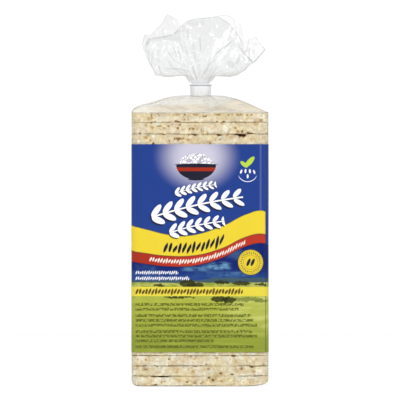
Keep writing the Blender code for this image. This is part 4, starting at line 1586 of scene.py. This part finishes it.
    def landscape(self, wire: Wiring, across: Socket, height: Socket, place: Socket) -> Socket:
        """Returns the sky with its clouds, and the fields under it."""
        view = Canvas(wire, across, height, wire.blend(wire.ramp(height, 78.0, 66.0), self.sky, self.low_sky))
        drift = wire.grain(wire.scaled(place, (1.0, 1.0, 2.2)), 60.0, 5.0, 0.6)
        view.lay(wire.ramp(drift, 0.45, 0.72, 0.0, 0.20), self.cloud)
        fray = wire.ramp(wire.grain(wire.scaled(place, (1.0, 1.0, 1.8)), 150.0, 5.0, 0.65), 0.36, 0.62)
        for left, right, low, high, strength in self.clouds:
            half, rise = (right - left) / 2, (high - low) / 2
            sideways = wire.ramp(wire.away(across, (left + right) / 2), half * 0.4, half, 1.0, 0.0)
            upward = wire.ramp(wire.away(height, (low + high) / 2), rise * 0.3, rise, 1.0, 0.0)
            view.lay(wire.times(wire.times(sideways, upward), fray), self.cloud, strength)
        rise = wire.times(wire.ramp(across, -2.0, 10.0), wire.ramp(across, 140.0, 60.0))
        hills = wire.times_plus(wire.grain(place, 55.0, 2.0), 3.2, wire.times_plus(rise, 1.6, 66.4))
        view.lay(wire.ramp(wire.minus(height, hills), 0.25, -0.25, 0.0, 0.8), self.far_hill)
        ridge = wire.times_plus(wire.grain(place, 70.0, 3.0), 2.0, 65.6)
        mottle = wire.grain(wire.scaled(place, (1.0, 1.0, 3.0)), 170.0, 4.0, 0.6)
        meadow = wire.blend(wire.ramp(mottle, 0.40, 0.65), self.horizon, self.field_dark)
        view.lay(wire.ramp(wire.minus(height, ridge), 0.3, -0.3), meadow)
        land = wire.blend(wire.ramp(height, 56.0, 24.0), self.field_light, self.field_dark)
        land = wire.blend(wire.ramp(mottle, 0.38, 0.70, 0.0, 0.45), land, self.field_dark)
        streaks = wire.grain(wire.scaled(place, (1.0, 1.0, 7.0)), 60.0, 3.0)
        land = wire.blend(wire.ramp(streaks, 0.5, 0.7, 0.0, 0.35), land, self.field_light)
        near = wire.ramp(height, 58.1, 57.9)
        view.lay(near, land)
        front = wire.times(wire.ramp(across, 8.0, 30.0), wire.ramp(across, 90.0, 46.0))
        bright = wire.times(front, wire.ramp(height, 30.0, 44.0))
        sheen = wire.times(bright, wire.ramp(streaks, 0.40, 0.62, 0.25, 0.9))
        view.lay(wire.times(sheen, near), self.field_bright)
        rough = wire.plus(height, wire.times_plus(wire.grain(place, 520.0, 4.0, 0.7), 4.4, -2.2))
        for shapes, ink, strength in ((self.hedges, self.hedge, 0.75), (self.bushes, self.bush, 0.92)):
            for shape in shapes:
                view.lay(view.oval(*shape, height=rough), ink, strength)
        return view.colour

    def rows(self, canvas: Canvas) -> None:
        """Lays the dark rows of young plants over the field."""
        wire, across, height = canvas.wire, canvas.across, canvas.height
        tufts = wire.ramp(wire.grain(wire.flat(across, wire.times(height, 0.9)), 0.85, 2.0, 0.6), 0.38, 0.54)
        rows: object = 0.0
        for level, end in self.furrows:
            row = wire.ramp(wire.away(height, level), 0.75, 1.15, 1.0, 0.0)
            rows = wire.maths("MAXIMUM", rows, wire.times(row, wire.ramp(across, end, end - 0.6)))
        rows = wire.times(rows, wire.ramp(across, -41.8, -41.2))
        canvas.lay(wire.times(rows, tufts), self.furrow, 0.9)

    def badge(self, canvas: Canvas) -> None:
        """Lays the round yellow seal with a ring of beads and two grains."""
        wire = canvas.wire
        middle, level = self.seal_at
        for radius, ink in (
            (8.45, self.line), (8.0, self.seal), (7.55, self.brown), (7.35, self.seal), (4.75, self.brown),
            (4.55, self.yellow),
        ):
            canvas.lay(canvas.oval(middle, level, radius, radius), ink, 0.95)
        for offset in (-1.35, 1.35):
            canvas.lay(canvas.oval(middle + offset, level, 2.6, 0.95, math.radians(66.0)), self.line)
        right, up = wire.minus(canvas.across, middle), wire.minus(canvas.height, level)
        far = wire.node("ShaderNodeVectorMath", operation="LENGTH")
        wire.feed(far.inputs[0], wire.flat(right, up))
        run = wire.times(wire.maths("ARCTAN2", up, right), self.bead_ring)
        pitch = 2 * math.pi * self.bead_ring / self.bead_count
        ring = wire.minus(far.outputs["Value"], self.bead_ring)
        beads = canvas.mask(row_group(), run, ring, -30.0, 30.0, pitch, 0.85, 0.38, 0.3)
        canvas.lay(beads, self.brown, 0.75)

    def bands(self, canvas: Canvas, place: Socket) -> Socket:
        """Lays the yellow and red waves, the landscape under them and the thin lines along them.

        Args:
            canvas: The print so far.
            place: The Object coordinates, for the landscape's grain.

        Returns:
            How far a place is above the red wave's upper edge.
        """
        wire, across = canvas.wire, canvas.across
        over_top, over_low = self.curve(canvas, self.wave_top), self.curve(canvas, self.wave_low)
        over_red = wire.plus(over_low, wire.ramp(across, -40.0, 40.0, 6.9, 6.0))
        shown = wire.maths("GREATER_THAN", wire.away(across, self.side_middle), self.side_half)
        canvas.lay(wire.times(wire.ramp(over_top, 0.12, -0.12), shown), self.yellow)
        redder = wire.maths("MAXIMUM", wire.ramp(across, -44.0, -10.0), wire.ramp(across, -50.0, -130.0))
        red = wire.blend(redder, self.dark_red, self.red)
        canvas.lay(wire.times(wire.ramp(over_low, 0.12, -0.12), shown), red)
        canvas.lay(wire.ramp(over_red, 0.12, -0.12), self.landscape(wire, across, canvas.height, place))
        for distance, strength in ((over_top, 0.55), (over_low, 0.75), (over_red, 0.75)):
            near = wire.ramp(wire.maths("ABSOLUTE", distance), 0.10, 0.42, strength, 0.0)
            canvas.lay(wire.times(near, shown), self.line)
        rim = wire.ramp(wire.away(across, self.side_middle - self.side_half), 0.1, 0.4, 0.7, 0.0)
        canvas.lay(wire.times(rim, wire.ramp(over_top, 0.1, -0.1)), self.line)
        return over_low

    def motifs(self, canvas: Canvas, over_low: Socket) -> None:
        """Lays the rows of grains, the yellow strip, the field's rows, the seal and the ears of rice."""
        wire, across, height = canvas.wire, canvas.across, canvas.height
        canvas.lay(canvas.row(wire.minus(over_low, 5.2), -23.5, 15.5, 3.0, 3.9, 0.95, 0.42), self.line)
        canvas.lay(canvas.row(wire.plus(over_low, 3.3), -32.5, 29.0, 1.72, 1.75, 0.55, 0.5), self.cream, 0.92)
        for level, end in ((73.1, -14.0), (69.4, -7.0)):
            grains = canvas.row(wire.minus(height, level), -41.5, end, 1.35, 1.25, 0.42, 0.4)
            canvas.lay(grains, self.white, 0.85)
        canvas.lay(canvas.stripe(*self.strip_reach), self.strip)
        canvas.lay(canvas.row(wire.minus(height, 60.9), -41.5, 27.5, 2.05, 2.1, 0.74, 0.42), self.brown, 0.95)
        self.rows(canvas)
        self.badge(canvas)
        for start, level, turn, length, scale in self.ears:
            about = (start, level, math.radians(turn), length, scale)
            moved = wire.plus(across, 0.7 * scale), wire.plus(height, 0.9 * scale)
            canvas.lay(canvas.mask(ear_group(), *moved, *about), self.line, 0.9)
            canvas.lay(canvas.mask(ear_group(), across, height, *about), self.white)

    def material(self) -> bpy.types.Material:
        """Returns the material."""
        material, wire = new_material("printed_film")
        split = wire.axes(wire.node("ShaderNodeUVMap", uv_map="print").outputs[0])
        across, height = wire.times(split[0], 1 / MM), wire.times(split[1], 1 / MM)
        place = wire.object_space()
        canvas = Canvas(wire, across, height, self.backdrop(wire, across, height))
        self.bowl(canvas)
        self.sprig(canvas)
        # Painted highlight: a faint pale line down the front near its right corner, where the film is folded.
        canvas.lay(wire.ramp(wire.away(across, self.painted_highlight_at), 0.2, 0.9, 0.13, 0.0), self.glow)
        self.motifs(canvas, self.bands(canvas, place))
        creases = wire.grain(wire.scaled(place, (1.0, 1.0, 0.3)), 140.0, 3.0)
        shader = wire.plastic(canvas.colour, self.roughness, self.shine, wire.bump(creases, self.ripple))
        wire.surface(shader)
        return material


@dataclass
class Studio:
    """A white room with soft lights, a pale floor and a camera in front of the pack."""

    frame_height: float = 256.8 * MM
    frame_centre: float = 119.7 * MM
    front: float = -44.0 * MM
    lens: float = 1000.0
    sensor: float = 36.0
    floor_radius: float = 3.0
    lit_floor: Colour = (0.85, 0.85, 0.85)
    seen_floor: Colour = (0.10, 0.10, 0.10)
    floor_glow: float = 0.96
    aim: tuple[float, float, float] = (0.0, 0.0, 0.12)
    lamps: tuple[tuple, ...] = (
        ("left_light", (-1.0, -1.0, 0.75), 0.5, 12.5),
        ("right_light", (1.0, -1.0, 0.55), 0.5, 11.5),
        ("top_light", (0.0, -0.1, 1.4), 0.6, 5.5),
        ("back_light", (0.10, 1.2, 0.80), 0.8, 1.2),
    )
    seen_room: float = 1.05
    front_room: float = 0.10
    side_room: float = 0.30
    back_room: float = 0.75

    def camera(self) -> None:
        """Adds the camera, level and far away with a long lens."""
        deselect_all()
        distance = self.lens / self.sensor * self.frame_height
        bpy.ops.object.camera_add(
            location=(0.0, self.front - distance, self.frame_centre), rotation=(math.pi / 2, 0, 0)
        )
        camera = bpy.context.active_object
        camera.name = "camera"
        camera.data.lens = self.lens
        camera.data.sensor_width = self.sensor
        camera.data.clip_end = 100.0
        bpy.context.scene.camera = camera

    def soft_light(self, name: str, place: tuple[float, float, float], size: float, power: float) -> None:
        """Adds a square soft light that faces the pack."""
        deselect_all()
        bpy.ops.object.light_add(type="AREA", location=place)
        light = bpy.context.active_object
        light.name = name
        light.data.shape = "SQUARE"
        light.data.size = size
        light.data.energy = power
        aim = Vector(self.aim) - Vector(place)
        light.rotation_euler = aim.to_track_quat("-Z", "Y").to_euler()

    def lights(self) -> None:
        """Adds the soft lights and the room's own light."""
        for lamp in self.lamps:
            self.soft_light(*lamp)
        world = bpy.data.worlds.new("room")
        bpy.context.scene.world = world
        world.use_nodes = True
        wire = Wiring(world.node_tree)
        for made in list(world.node_tree.nodes):
            world.node_tree.nodes.remove(made)
        wire.node("ShaderNodeOutputWorld")
        seen = wire.node("ShaderNodeBackground")
        wire.feed(seen.inputs["Color"], (1.0, 1.0, 1.0))
        wire.feed(seen.inputs["Strength"], self.seen_room)
        around = wire.node("ShaderNodeBackground")
        back_way = wire.axes(wire.node("ShaderNodeTexCoord").outputs["Generated"])[1]
        front = wire.ramp(back_way, -0.95, -0.40, self.front_room, self.side_room)
        back = wire.ramp(back_way, 0.10, 0.75, 0.0, self.back_room - self.side_room)
        wire.feed(around.inputs["Strength"], wire.plus(front, back))
        wire.surface(wire.mixed(wire.node("ShaderNodeLightPath").outputs["Is Camera Ray"], around, seen))

    def floor(self) -> None:
        """Adds the pale floor, which reads white to the camera and still takes soft shadows."""
        deselect_all()
        bpy.ops.mesh.primitive_circle_add(vertices=96, radius=self.floor_radius, fill_type="NGON")
        floor = bpy.context.active_object
        floor.name = "floor"
        material, wire = new_material("white_floor")
        seen = wire.node("ShaderNodeLightPath").outputs["Is Camera Ray"]
        matt = wire.node("ShaderNodeBsdfDiffuse")
        wire.feed(matt.inputs["Color"], wire.blend(seen, self.lit_floor, self.seen_floor))
        glow = wire.node("ShaderNodeEmission")
        wire.feed(glow.inputs["Strength"], wire.times(seen, self.floor_glow))
        both = wire.node("ShaderNodeAddShader")
        wire.feed(both.inputs[0], matt.outputs[0])
        wire.feed(both.inputs[1], glow.outputs[0])
        wire.surface(both)
        floor.data.materials.append(material)

    def build(self) -> None:
        """Builds the camera, the lights and the floor."""
        self.camera()
        self.lights()
        self.floor()
        scene = bpy.context.scene
        scene.view_settings.view_transform = "Standard"
        scene.cycles.transparent_max_bounces = 40


def main() -> None:
    """Builds the pieces in order."""
    logging.basicConfig(level=logging.INFO, format="%(name)s: %(message)s")
    noise.seed_set(NOISE_SEED)
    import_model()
    Studio().build()
    CakeStack().build(PuffedRice().material())
    taut = ClearFilm(
        name="taut_film", facing_mirror=0.008, slant_power=4.2, roughness=0.14, crease_height=0.32 * MM
    )
    BagFilm().build(taut.material())
    crumpled = ClearFilm(
        name="crumpled_film",
        tint=(0.928, 0.93, 0.933),
        facing_mirror=0.04,
        roughness=0.11,
        crease_height=0.36 * MM,
    )
    FilmFan().build(crumpled.material())
    gathered = ClearFilm(name="gathered_film", dust=MILKY, haze=MILKY, husk=MILKY)
    NeckGather().build(gathered.material())
    NeckBand().build(BandPlastic().material())
    PrintedWrap().build(PrintInk().material())
    deselect_all()


if __name__ == "__main__":
    main()
